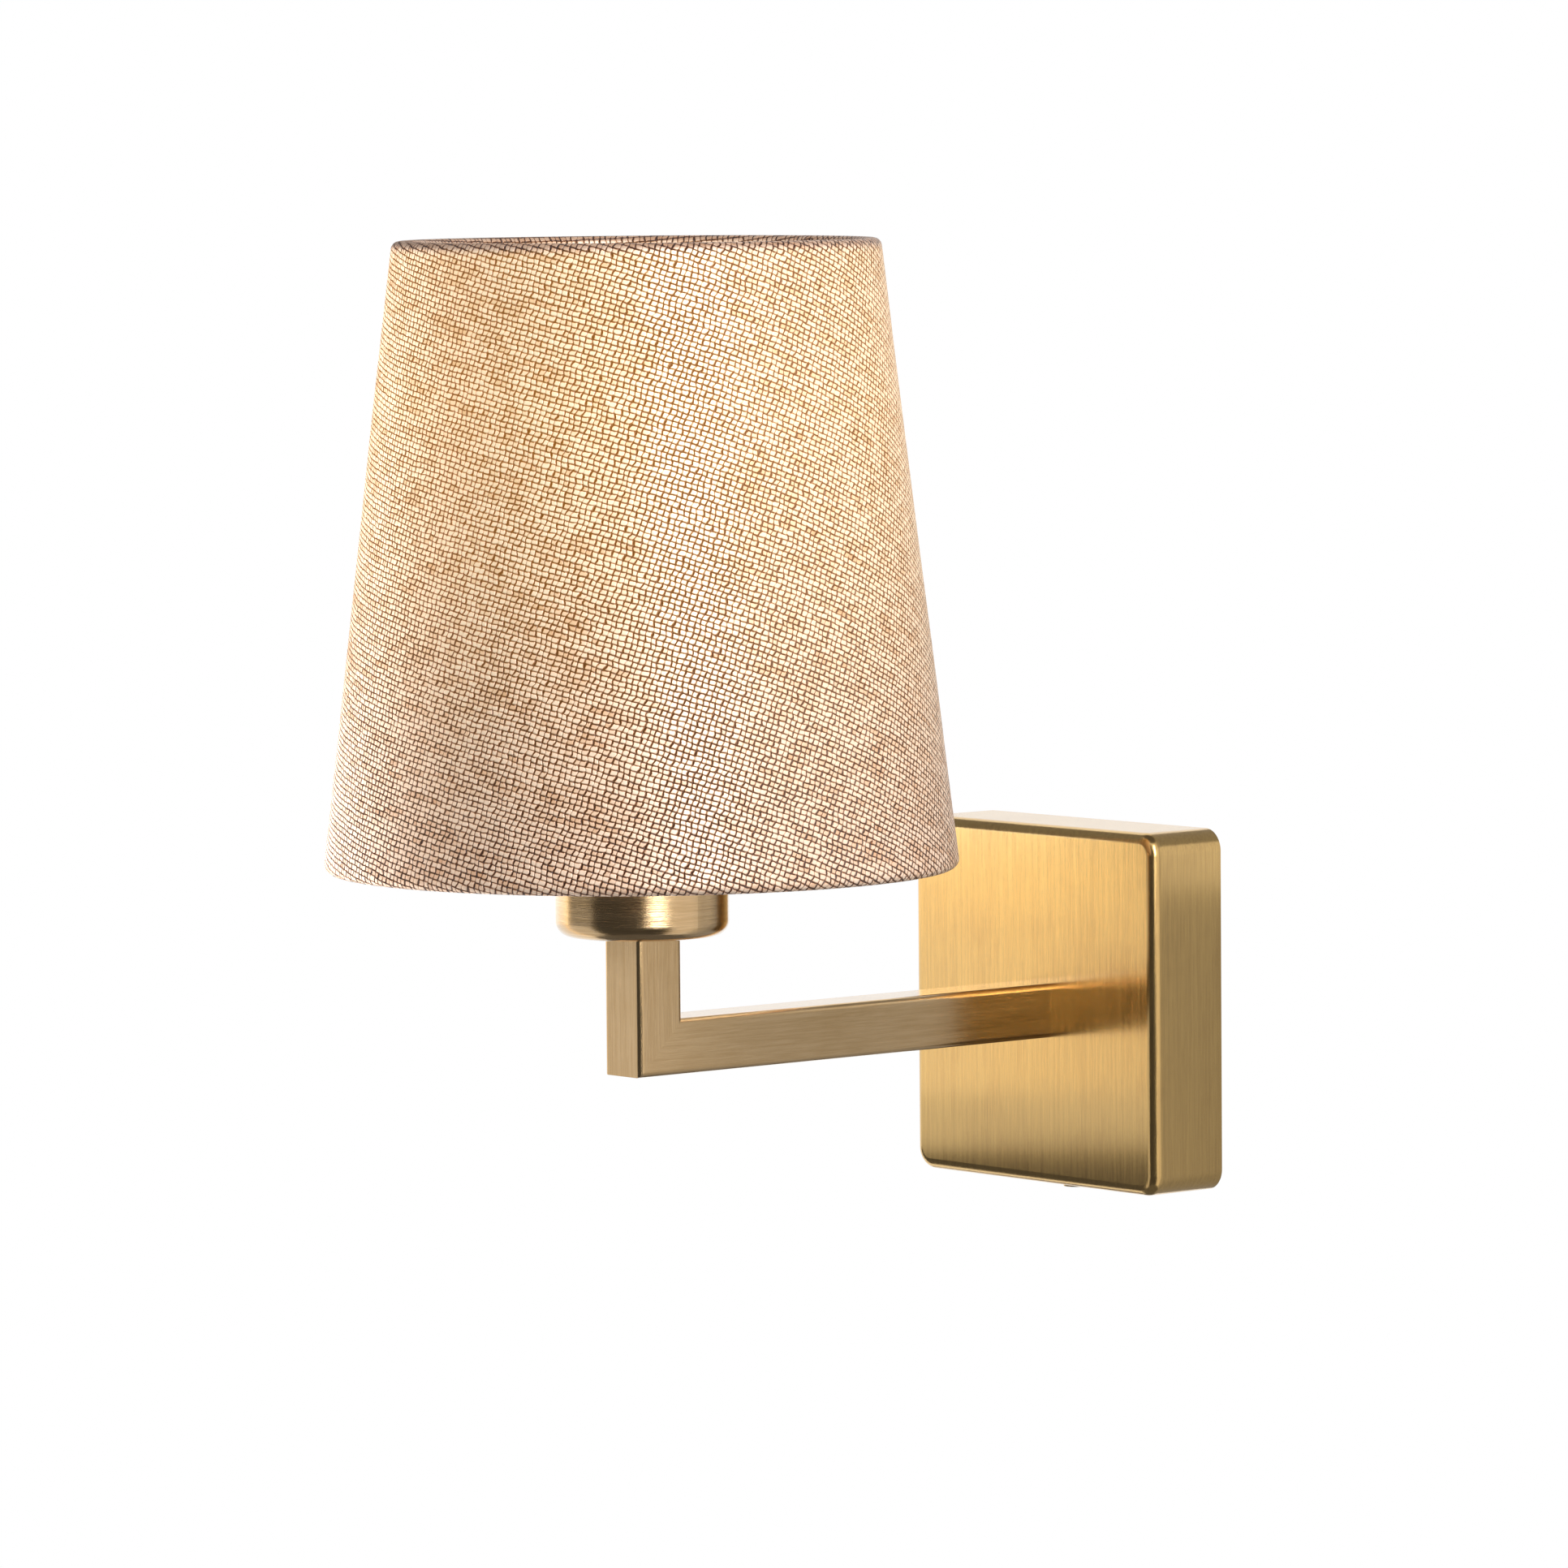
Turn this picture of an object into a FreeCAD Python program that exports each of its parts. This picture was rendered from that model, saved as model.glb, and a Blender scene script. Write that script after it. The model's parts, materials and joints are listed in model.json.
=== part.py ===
import FreeCAD, Part
import math
import os

# A wall light: a square wall plate, a square-tube arm with a mitred upright, a round cup that hides the
# lampholder, and a tapered linen shade on a wire frame. The wall bracket, the wiring and the lamp are inside.
#
# Millimetres. The wall is the plane y = 0, the light stands out of it towards -y, and +z is up.
# The origin is the middle of the wall plate, on the wall.

V = FreeCAD.Vector
X, Y, Z = V(1, 0, 0), V(0, 1, 0), V(0, 0, 1)
ORIGIN = V(0, 0, 0)

# ---- Driving dimensions ------------------------------------------------------------------------------

# Wall plate: a pressed square cover, open at the back
plate_size = 100.0
plate_depth = 25.0
plate_wall = 1.2
plate_corner_radius = 6.0
plate_edge_radius = 3.0

# Arm: square tube, mitred to a short upright
tube_size = 15.0
tube_wall = 1.0
tube_corner_radius = 1.5
arm_height = -1.5            # the arm's centre line, from the plate's centre
arm_reach = 164.5            # from the wall to the axis of the shade
upright_top = 28.5           # where the cup stands

# Threaded nipples, with the plugs, nuts and washers on them
plug_length = 8.0
thread_radius = 5.0
nipple_bore_radius = 3.75
nipple_stand = 3.0           # how far the arm's nipple stands past its nut
nut_flats = 14.0
nut_thickness = 3.0
washer_radius = 8.0
washer_thickness = 0.8

# Bush that keeps the wires off the nipple's edge
bush_flange_radius = 5.4
bush_flange_thickness = 1.5
bush_wall = 0.8
bush_depth = 6.0

# Cup
cup_radius = 23.25
cup_height = 32.0
cup_wall = 1.0
cup_edge_radius = 4.0

# Wall bracket, folded from sheet
bracket_width = 60.0
bracket_plate_height = 80.0
bracket_sheet = 1.5
bracket_bend_radius = 1.0    # inside
tab_width = 24.0
tab_depth = 14.0
slot_spacing = 72.0
slot_length = 12.0
slot_width = 5.0

# Hook and screw that hold the cover on the bracket
hook_width = 14.0
hook_sheet = 1.2
hook_drop = 5.0              # below the tab's top face
hook_back = 8.0              # from the wall to the tongue
hook_foot_length = 8.0
cover_screw_radius = 2.0
cover_screw_length = 8.0
cover_screw_head_radius = 3.6
cover_screw_head_height = 2.2
cover_screw_back = 9.0       # from the wall

# Slots in the heads of the screws
slot_width_share = 0.32      # of the head's radius
slot_depth_share = 0.45      # of the head's height

# Cable hole and grommet
cable_hole_height = -14.0
cable_hole_radius = 8.0
grommet_bore_radius = 5.0
grommet_flange_radius = 9.5
grommet_flange_thickness = 2.0

# Three-pole connector
terminal_height = 16.0       # its centre
terminal_length = 16.0
terminal_depth = 12.0
terminal_base_depth = 4.0
pole_spacing = 9.0
pole_width = 7.5
pole_edge_radius = 1.25
sleeve_radius = 2.6
sleeve_bore_radius = 1.5
sleeve_back = 5.5            # from the bracket to the sleeve's axis
sleeve_inset = 1.0           # each end of a sleeve inside the plastic
clamp_screw_radius = 2.0
clamp_screw_recess = 1.2
clamp_slot_depth = 0.8
fixing_screw_radius = 1.4
fixing_head_radius = 2.3
fixing_head_height = 1.6

# Earth screw and ring tag
earth_x = -20.0
earth_z = -14.0
earth_screw_radius = 2.0
earth_head_radius = 3.8
earth_head_height = 2.4
tag_ring_radius = 4.4
tag_sheet = 0.8
tag_barrel_radius = 1.7
tag_barrel_length = 6.0
tag_barrel_floor = 1.0       # closed end of the barrel

# Insulated wires
wire_radius = 1.0
wire_pair_offset = 1.3       # each side of the tube's centre
wire_bend_radius = 10.0      # the most, as in the mitred corner
wire_turn_room = 5.0         # between the bush and where a wire turns into it
connector_tail = 5.6         # straight out of the connector
holder_tail = 4.0            # straight into the lampholder's poles
cup_tail = 2.0               # straight out of the cup's nipple
earth_wire_drop = 6.0        # below the connector

# Lampholder
holder_neck_radius = 8.0
holder_neck_height = 7.0
holder_dome_height = 8.0
holder_cone_height = 4.8     # the sloping part of the dome
holder_floor_height = 6.4    # the same inside
holder_wall = 1.6
holder_spigot_height = 4.0
holder_radius = 19.75
holder_shell_height = 36.0
holder_insert_height = 8.6
holder_mouth_radius = 14.8
screw_shell_radius = 14.0
screw_shell_wall = 0.4
screw_shell_height = 21.0
contact_radius = 5.0
contact_sheet = 0.5
contact_rise = 2.0
contact_crown_radius = 2.0
contact_foot_radius = 4.0
holder_pole_offset = 8.0
holder_pole_radius = 2.9
holder_pole_depth = 6.0
holder_pole_floor = 1.5

# Shade: linen on a stiff liner, rolled over a wire at each rim
shade_top_radius = 65.0
shade_bottom_radius = 85.0
shade_height = 168.0
fabric_thickness = 0.8
liner_thickness = 0.5
rim_wire_radius = 1.2
hem_length = 7.0
fitter_rise = 14.0           # from the lower rim up to the fitter washer
fitter_radius = 28.0
fitter_thickness = 1.2
fitter_flat = 8.0            # level run of each arm beside the washer
rim_flat = 10.0              # level run of each arm beside the lower wire
arm_count = 3
arm_wire_radius = 1.25
arm_bend_radius = 12.0
arm_first_angle = 90.0       # degrees from +x

# Shade ring
ring_flange_radius = 26.0
ring_flange_thickness = 2.6
ring_collar_radius = 22.6
ring_height = 8.0
ring_notches = 24
ring_notch_radius = 1.1

# Lamp
bulb_radius = 30.0
bulb_length = 108.0
bulb_glass_wall = 0.8
bulb_neck_rise = 2.0         # straight glass above the cap
cap_radius = 13.2
cap_wall = 0.4
cap_length = 24.0
cap_cone_height = 3.6
cap_cone_radius = 7.9
cap_stand = 0.5              # between the contact's plate and the cap
cap_overlap = 6.0            # glass inside the cap
tip_radius = 4.5
tip_height = 2.0
tip_dome_height = 1.2
insulator_height = 6.0
stem_length = 38.0
stem_radius = 3.2
stem_foot_height = 12.0
stem_flange_height = 1.5
filament_count = 4
filament_radius = 0.8
filament_length = 34.0
filament_circle = 6.5
support_radius = 7.6
support_thickness = 0.8

# ---- Clearances --------------------------------------------------------------------------------------

fit_gap = 0.05               # pressed, glued and threaded pieces
run_gap = 0.08               # the shade ring on its thread
hole_gap = 0.3               # a screw or a nipple in a plain hole
slip_gap = 0.25              # the shade's washer round the lampholder
turn_gap = 0.3               # the shade ring off the shade's washer, before its last turn
touch_gap = 0.3              # the lamp above its contact
notch_gap = 0.4              # the hem round an arm of the frame
roll_gap = 0.3               # the linen round a rim's wire

# ---- Places worked out from them ---------------------------------------------------------------------

plate_half = plate_size / 2
plate_inside = plate_half - plate_wall
plate_face = -plate_depth
plate_inner_face = plate_face + plate_wall
tube_half = tube_size / 2
tube_bore = tube_size - 2 * tube_wall
shade_axis = -arm_reach
thread_hole_radius = thread_radius + fit_gap

tab_top = plate_inside - hook_sheet - hole_gap
tab_bottom = -plate_inside + hole_gap
bracket_face = -bracket_sheet

arm_nut_face = plate_inner_face + washer_thickness
arm_nipple_end = arm_nut_face + nut_thickness + nipple_stand
cup_floor = upright_top + cup_wall
cup_top = upright_top + cup_height
holder_bottom = cup_floor + washer_thickness + nut_thickness
cup_nipple_end = holder_bottom + holder_neck_height - hole_gap
holder_joint = holder_bottom + holder_neck_height + holder_dome_height
holder_top = holder_joint + holder_shell_height
spigot_radius = holder_radius - holder_wall - fit_gap - holder_wall
insert_bottom = holder_joint + holder_spigot_height
insert_top = insert_bottom + holder_insert_height
insert_radius = holder_radius - holder_wall - fit_gap
pole_wire_end = insert_bottom + holder_pole_depth - holder_pole_floor

sleeve_y = bracket_face - sleeve_back
terminal_bottom = terminal_height - terminal_length / 2
terminal_top = terminal_bottom + terminal_length
terminal_front = bracket_face - terminal_depth
pole_places = [-pole_spacing, 0.0, pole_spacing]
fixing_places = [-pole_spacing / 2, pole_spacing / 2]
fixing_seat = bracket_face - terminal_base_depth / 2

tag_face = bracket_face - tag_sheet
barrel_low = earth_z + tag_ring_radius
barrel_high = barrel_low + tag_barrel_length
barrel_y = bracket_face - tag_barrel_radius

shade_bottom = cup_top - fitter_rise
shade_top = shade_bottom + shade_height
slant = math.hypot(shade_bottom_radius - shade_top_radius, shade_height)
lean_sin = (shade_bottom_radius - shade_top_radius) / slant
lean_cos = shade_height / slant
roll_inner = rim_wire_radius + roll_gap
roll_outer = roll_inner + fabric_thickness
liner_face = fabric_thickness + fit_gap + liner_thickness + fit_gap
fitter_top = cup_top + fitter_thickness
ring_bottom = fitter_top + turn_gap
arm_angles = [arm_first_angle + step * 360.0 / arm_count for step in range(arm_count)]

bulb_tip = insert_top + contact_rise + touch_gap
cap_bottom = bulb_tip + tip_height + cap_stand
cap_top = bulb_tip + cap_length
bulb_centre = bulb_tip + bulb_length - bulb_radius
glass_bottom = cap_top - cap_overlap
neck_radius = cap_radius - cap_wall - fit_gap
stem_top = glass_bottom + stem_length


# ---- Helpers -----------------------------------------------------------------------------------------

def block(x_range, y_range, z_range):
    """A block between two corners."""
    low = V(min(x_range), min(y_range), min(z_range))
    high = V(max(x_range), max(y_range), max(z_range))
    size = high - low
    return Part.makeBox(size.x, size.y, size.z, low)


def rod(radius, start, end):
    """A round rod between two points."""
    return Part.makeCylinder(radius, (end - start).Length, start, end - start)


def pipe(outer, inner, start, end):
    """A round tube between two points."""
    return rod(outer, start, end).cut(rod(inner, start, end))


def at_axis(height, radius=0.0, angle=0.0):
    """A point about the axis of the shade."""
    turn = math.radians(angle)
    return V(radius * math.cos(turn), shade_axis + radius * math.sin(turn), height)


def is_along(edge, axis):
    """Whether an edge is straight and parallel to an axis."""
    if edge.Curve.TypeId != "Part::GeomLine":
        return False
    return abs(abs(edge.tangentAt(edge.FirstParameter).normalize().dot(axis)) - 1) < 1e-6


def softened(shape, radius, chosen):
    """The shape with its chosen edges rounded."""
    return shape.makeFillet(radius, [edge for edge in shape.Edges if chosen(edge)])


def edges_from(start, steps):
    """Lines and arcs one after another. A step is an end point, or a pair: a point on the arc and its end."""
    edges = []
    for step in steps:
        if isinstance(step, tuple):
            edges.append(Part.Arc(start, step[0], step[1]).toShape())
            start = step[1]
        else:
            edges.append(Part.LineSegment(start, step).toShape())
            start = step
    return edges


def turned(start, *steps):
    """A solid turned about the axis of the shade from a closed outline of (radius, height) points."""
    def place(point):
        return V(point[0], 0, point[1])
    placed = []
    for step in steps:
        if isinstance(step[0], tuple):
            placed.append((place(step[0]), place(step[1])))
        else:
            placed.append(place(step))
    outline = Part.Wire(edges_from(place(start), placed + [place(start)]))
    solid = Part.Face(outline).revolve(ORIGIN, Z, 360)
    solid.translate(V(0, shade_axis, 0))
    return solid


def extruded(corners, direction):
    """A flat polygon pushed along a direction."""
    return Part.Face(Part.makePolygon(corners + [corners[0]])).extrude(direction)


def hex_nut(start, direction):
    """A nut on the nipple's thread, from its lower face."""
    side = direction.cross(Y if abs(direction.dot(Y)) < 0.5 else Z)
    front = direction.cross(side)
    reach = nut_flats / 2 / math.cos(math.pi / 6)
    corners = []
    for step in range(6):
        turn = step * math.pi / 3
        corners.append(start + side * (reach * math.cos(turn)) + front * (reach * math.sin(turn)))
    nut = extruded(corners, direction * nut_thickness)
    return nut.cut(rod(thread_hole_radius, start, start + direction * nut_thickness))


def screw(under_head, inward, shank_radius, shank_length, head_radius, head_height):
    """A slotted cheese-head screw: a shank that goes inward and a head on the other side of under_head."""
    slot_half = head_radius * slot_width_share / 2
    slot_reach = head_radius + hole_gap
    head_end = under_head - inward * head_height
    body = rod(head_radius, under_head, head_end)
    body = body.fuse(rod(shank_radius, under_head, under_head + inward * shank_length))
    across = inward.cross(X if abs(inward.dot(X)) < 0.5 else Z)
    along = inward.cross(across)
    corners = []
    for a, b in ((-1, -1), (1, -1), (1, 1), (-1, 1)):
        corners.append(head_end + across * (a * slot_half) + along * (b * slot_reach))
    return body.cut(extruded(corners, inward * (head_height * slot_depth_share)))


def dome_rise(radius, height, place):
    """How far a shallow dome has risen from its crown at a place between the middle and its rim."""
    ball = (radius ** 2 + height ** 2) / (2 * height)
    return ball - math.sqrt(ball ** 2 - place ** 2)


def route(points, largest_radius):
    """Straight runs joined by tangent arcs, each as large as its two runs and the largest radius allow."""
    edges = []
    start = points[0]
    for before, corner, after in zip(points, points[1:], points[2:]):
        back = (before - corner).normalize()
        ahead = (after - corner).normalize()
        shorter = min((before - corner).Length, (after - corner).Length)
        half_turn = (math.pi - back.getAngle(ahead)) / 2
        radius = min(0.45 * shorter / math.tan(half_turn), largest_radius)
        trim = radius * math.tan(half_turn)
        bisector = (back + ahead).normalize()
        middle = corner + bisector * (radius / math.cos(half_turn) - radius)
        arc_start = corner + back * trim
        arc_end = corner + ahead * trim
        edges.append(Part.LineSegment(start, arc_start).toShape())
        edges.append(Part.Arc(arc_start, middle, arc_end).toShape())
        start = arc_end
    edges.append(Part.LineSegment(start, points[-1]).toShape())
    return Part.Wire(edges)


def wire_along(points, radius, bend_radius):
    """A round wire along a route."""
    path = route(points, bend_radius)
    section = Part.Wire(Part.Circle(points[0], points[1] - points[0], radius).toShape())
    solid = path.makePipeShell([section], True, False)
    expected = math.pi * radius ** 2 * path.Length
    print("wire volume over section times length:", round(solid.Volume / expected, 4))
    return solid


# ---- Wall plate, bracket and what is on them ---------------------------------------------------------

def square_cover(half, face, corner_radius, edge_radius):
    """A square block from the wall to a front face, with soft corners and a rounded front edge."""
    cover = softened(block((-half, half), (face, 0), (-half, half)), corner_radius,
                     lambda edge: is_along(edge, Y))
    return softened(cover, edge_radius, lambda edge: abs(edge.BoundBox.YMax - face) < 1e-6)


def wall_plate():
    outer = square_cover(plate_half, plate_face, plate_corner_radius, plate_edge_radius)
    inner = square_cover(plate_inside, plate_inner_face, plate_corner_radius - plate_wall,
                         plate_edge_radius - plate_wall)
    cover = outer.cut(inner)
    nipple_hole = rod(thread_radius + hole_gap, V(0, plate_face, arm_height),
                      V(0, plate_inner_face, arm_height))
    screw_hole = rod(cover_screw_radius + hole_gap, V(0, -cover_screw_back, -plate_half),
                     V(0, -cover_screw_back, -plate_inside))
    return cover.cut(nipple_hole).cut(screw_hole)


def cover_hook():
    half = hook_width / 2
    foot = block((-half, half), (-hook_back, -hook_back - hook_foot_length),
                 (plate_inside, plate_inside - hook_sheet))
    tongue = block((-half, half), (-hook_back, -hook_back - hook_sheet), (plate_inside, tab_top - hook_drop))
    return foot.fuse(tongue).removeSplitter()


def wall_bracket():
    half = tab_width / 2
    strip = block((-half, half), (0, -tab_depth), (tab_bottom, tab_top))
    strip = softened(strip, bracket_bend_radius + bracket_sheet,
                     lambda edge: is_along(edge, X) and edge.BoundBox.YMax > -1e-6)
    hollow = block((-half, half), (bracket_face, -tab_depth),
                   (tab_bottom + bracket_sheet, tab_top - bracket_sheet))
    hollow = softened(hollow, bracket_bend_radius,
                      lambda edge: is_along(edge, X) and edge.BoundBox.YMax > bracket_face - 1e-6)
    bracket = strip.cut(hollow)
    bracket = bracket.fuse(block((-bracket_width / 2, bracket_width / 2), (0, bracket_face),
                                 (-bracket_plate_height / 2, bracket_plate_height / 2))).removeSplitter()
    through = 2 * bracket_sheet
    for side in (-1, 1):
        middle = side * slot_spacing / 2
        run = (slot_length - slot_width) / 2
        slot = block((-slot_width / 2, slot_width / 2), (-through, through), (middle - run, middle + run))
        for end in (-run, run):
            slot = slot.fuse(rod(slot_width / 2, V(0, -through, middle + end), V(0, through, middle + end)))
        bracket = bracket.cut(slot)
    holes = [(cable_hole_radius, 0, cable_hole_height), (earth_screw_radius + fit_gap, earth_x, earth_z)]
    holes += [(fixing_screw_radius + fit_gap, place, terminal_height) for place in fixing_places]
    for radius, x, z in holes:
        bracket = bracket.cut(rod(radius, V(x, -through, z), V(x, through, z)))
    hook_slot = block((-hook_width / 2 - hole_gap, hook_width / 2 + hole_gap),
                      (-hook_back + hole_gap, -hook_back - hook_sheet - hole_gap),
                      (tab_top - through, tab_top))
    screw_hole = rod(cover_screw_radius + fit_gap, V(0, -cover_screw_back, tab_bottom),
                     V(0, -cover_screw_back, tab_bottom + through))
    return bracket.cut(hook_slot).cut(screw_hole)


def cover_screw():
    return screw(V(0, -cover_screw_back, -plate_half), Z, cover_screw_radius, cover_screw_length,
                 cover_screw_head_radius, cover_screw_head_height)


def cable_grommet():
    back = V(0, 0, cable_hole_height)
    front = V(0, bracket_face - grommet_flange_thickness, cable_hole_height)
    flange = rod(grommet_flange_radius, V(0, bracket_face, cable_hole_height), front)
    sleeve = rod(cable_hole_radius - fit_gap, back, front)
    return flange.fuse(sleeve).cut(rod(grommet_bore_radius, back, front)).removeSplitter()


def terminal_block():
    low, high = terminal_bottom, terminal_top
    half = pole_spacing + pole_width / 2
    body = block((-half, half), (bracket_face, bracket_face - terminal_base_depth), (low, high))
    for place in pole_places:
        pole = block((place - pole_width / 2, place + pole_width / 2), (bracket_face, terminal_front),
                     (low, high))
        pole = softened(pole, pole_edge_radius, lambda edge: abs(edge.BoundBox.YMax - terminal_front) < 1e-6)
        body = body.fuse(pole)
    for place in pole_places:
        body = body.cut(rod(sleeve_radius + fit_gap, V(place, sleeve_y, low), V(place, sleeve_y, high)))
        body = body.cut(rod(clamp_screw_radius + fit_gap, V(place, sleeve_y, terminal_height),
                            V(place, terminal_front, terminal_height)))
    for place in fixing_places:
        seat = V(place, fixing_seat, terminal_height)
        body = body.cut(rod(fixing_screw_radius + fit_gap, V(place, bracket_face, terminal_height), seat))
        body = body.cut(rod(fixing_head_radius + fit_gap, seat, V(place, terminal_front, terminal_height)))
    return body.removeSplitter()


def terminal_sleeves():
    sleeves = []
    for place in pole_places:
        sleeve = pipe(sleeve_radius, sleeve_bore_radius, V(place, sleeve_y, terminal_bottom + sleeve_inset),
                      V(place, sleeve_y, terminal_top - sleeve_inset))
        sleeves.append(sleeve.cut(rod(clamp_screw_radius + fit_gap, V(place, sleeve_y, terminal_height),
                                      V(place, terminal_front, terminal_height))))
    return Part.makeCompound(sleeves)


def terminal_screws():
    screws = []
    head_end = terminal_front + clamp_screw_recess
    slot_half = clamp_screw_radius * slot_width_share / 2
    for place in pole_places:
        tip = V(place, sleeve_y - wire_radius - fit_gap, terminal_height)
        head = V(place, head_end, terminal_height)
        slot = block((place - slot_half, place + slot_half), (head_end, head_end + clamp_slot_depth),
                     (terminal_height - clamp_screw_radius, terminal_height + clamp_screw_radius))
        screws.append(rod(clamp_screw_radius, tip, head).cut(slot))
    return Part.makeCompound(screws)


def terminal_fixing_screws():
    return Part.makeCompound([screw(V(place, fixing_seat, terminal_height), Y, fixing_screw_radius,
                                    -fixing_seat, fixing_head_radius, fixing_head_height)
                              for place in fixing_places])


def earth_screw():
    return screw(V(earth_x, tag_face, earth_z), Y, earth_screw_radius, -tag_face,
                 earth_head_radius, earth_head_height)


def earth_ring_tag():
    ring_back = V(earth_x, bracket_face, earth_z)
    ring_front = V(earth_x, tag_face, earth_z)
    tongue = block((earth_x - tag_barrel_radius, earth_x + tag_barrel_radius), (bracket_face, tag_face),
                   (earth_z, (barrel_low + barrel_high) / 2))
    barrel = rod(tag_barrel_radius, V(earth_x, barrel_y, barrel_low), V(earth_x, barrel_y, barrel_high))
    tag = rod(tag_ring_radius, ring_back, ring_front).fuse(tongue).fuse(barrel)
    tag = tag.cut(rod(earth_screw_radius + fit_gap, ring_back, ring_front))
    return tag.cut(rod(wire_radius + fit_gap, V(earth_x, barrel_y, barrel_low + tag_barrel_floor),
                       V(earth_x, barrel_y, barrel_high))).removeSplitter()


# ---- Arm ---------------------------------------------------------------------------------------------

def square_bar(size, corner_radius, low, high, axis):
    """A square bar centred on a line parallel to Y or Z, between two points on that line."""
    half = size / 2
    if axis == Y:
        bar = block((-half, half), (low.y, high.y), (low.z - half, low.z + half))
    else:
        bar = block((-half, half), (low.y - half, low.y + half), (low.z, high.z))
    return softened(bar, corner_radius, lambda edge: is_along(edge, axis))


def square_tube(low, high, axis):
    outer = square_bar(tube_size, tube_corner_radius, low, high, axis)
    inner = square_bar(tube_bore, tube_corner_radius - tube_wall, low, high, axis)
    return outer.cut(inner)


def mitre_wedge(side):
    """The half of the corner on one side of the 45 degree mitre: side 1 is the upright's, -1 the arm's."""
    reach = tube_size
    corners = [V(-tube_size, shade_axis + a * reach, arm_height + b * reach)
               for a, b in ((-1, -1), (1, 1), (-side, side))]
    return extruded(corners, X * (2 * tube_size))


def arm_tube():
    tube = square_tube(V(0, shade_axis - tube_half, arm_height), V(0, plate_face, arm_height), Y)
    return tube.cut(mitre_wedge(1))


def arm_upright():
    tube = square_tube(V(0, shade_axis, arm_height - tube_half), V(0, shade_axis, upright_top), Z)
    return tube.cut(mitre_wedge(-1))


def arm_end_plug():
    low, high = V(0, plate_face - plug_length, arm_height), V(0, plate_face, arm_height)
    bar = square_bar(tube_bore - 2 * fit_gap, tube_corner_radius - tube_wall, low, high, Y)
    return bar.cut(rod(thread_hole_radius, low, high))


def arm_nipple():
    return pipe(thread_radius, nipple_bore_radius, V(0, plate_face - plug_length, arm_height),
                V(0, arm_nipple_end, arm_height))


def arm_lock_washer():
    return pipe(washer_radius, thread_radius + hole_gap, V(0, plate_inner_face, arm_height),
                V(0, arm_nut_face, arm_height))


def arm_lock_nut():
    return hex_nut(V(0, arm_nut_face, arm_height), Y)


def nipple_bush():
    end = V(0, arm_nipple_end, arm_height)
    sleeve_outer = nipple_bore_radius - fit_gap
    flange = rod(bush_flange_radius, end, end + Y * bush_flange_thickness)
    sleeve = rod(sleeve_outer, end - Y * bush_depth, end + Y * bush_flange_thickness)
    hole = rod(sleeve_outer - bush_wall, end - Y * bush_depth, end + Y * bush_flange_thickness)
    return flange.fuse(sleeve).cut(hole).removeSplitter()


def upright_end_plug():
    low, high = at_axis(upright_top - plug_length), at_axis(upright_top)
    bar = square_bar(tube_bore - 2 * fit_gap, tube_corner_radius - tube_wall, low, high, Z)
    return bar.cut(rod(thread_hole_radius, low, high))


def cup_nipple():
    return pipe(thread_radius, nipple_bore_radius, at_axis(upright_top - plug_length),
                at_axis(cup_nipple_end))


# ---- Cup and lampholder ------------------------------------------------------------------------------

def quarter(centre, radius, middle_angle):
    """The middle point of a quarter arc, from its centre."""
    turn = math.radians(middle_angle)
    return (centre[0] + radius * math.cos(turn), centre[1] + radius * math.sin(turn))


def lamp_cup():
    bend = (cup_radius - cup_edge_radius, upright_top + cup_edge_radius)
    inner_radius = cup_radius - cup_wall
    inner_edge = cup_edge_radius - cup_wall
    hole = thread_radius + hole_gap
    return turned((hole, upright_top), (bend[0], upright_top),
                  (quarter(bend, cup_edge_radius, -45), (cup_radius, bend[1])), (cup_radius, cup_top),
                  (inner_radius, cup_top), (inner_radius, bend[1]),
                  (quarter(bend, inner_edge, -45), (bend[0], cup_floor)), (hole, cup_floor))


def cup_washer():
    return pipe(washer_radius, thread_radius + hole_gap, at_axis(cup_floor),
                at_axis(cup_floor + washer_thickness))


def cup_nut():
    return hex_nut(at_axis(cup_floor + washer_thickness), Z)


def holder_base():
    """The lower half of the lampholder: a threaded neck, a dome, and a spigot inside the upper half."""
    neck_top = holder_bottom + holder_neck_height
    spigot_bore = spigot_radius - holder_wall
    return turned((thread_hole_radius, holder_bottom), (holder_neck_radius, holder_bottom),
                  (holder_neck_radius, neck_top), (holder_radius, neck_top + holder_cone_height),
                  (holder_radius, holder_joint), (spigot_radius, holder_joint),
                  (spigot_radius, insert_bottom), (spigot_bore, insert_bottom),
                  (spigot_bore, neck_top + holder_floor_height),
                  (holder_neck_radius, neck_top + holder_wall), (thread_hole_radius, neck_top + holder_wall))


def holder_shell():
    """The upper half: a threaded skirt round the mouth, wider inside where it holds the insert."""
    wide = holder_radius - holder_wall
    return turned((wide, holder_joint), (holder_radius, holder_joint), (holder_radius, holder_top),
                  (holder_mouth_radius, holder_top), (holder_mouth_radius, insert_top + fit_gap),
                  (wide, insert_top + fit_gap))


def holder_insert():
    body = rod(insert_radius, at_axis(insert_bottom), at_axis(insert_top))
    for side in (0, 180):
        low = at_axis(insert_bottom, holder_pole_offset, side)
        body = body.cut(rod(holder_pole_radius + fit_gap, low, low + Z * holder_pole_depth))
    return body


def holder_terminals():
    posts = []
    wire_hole_depth = holder_pole_depth - holder_pole_floor
    for side in (0, 180):
        low = at_axis(insert_bottom, holder_pole_offset, side)
        post = rod(holder_pole_radius, low, low + Z * holder_pole_depth)
        posts.append(post.cut(rod(wire_radius + fit_gap, low, low + Z * wire_hole_depth)))
    return Part.makeCompound(posts)


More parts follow.
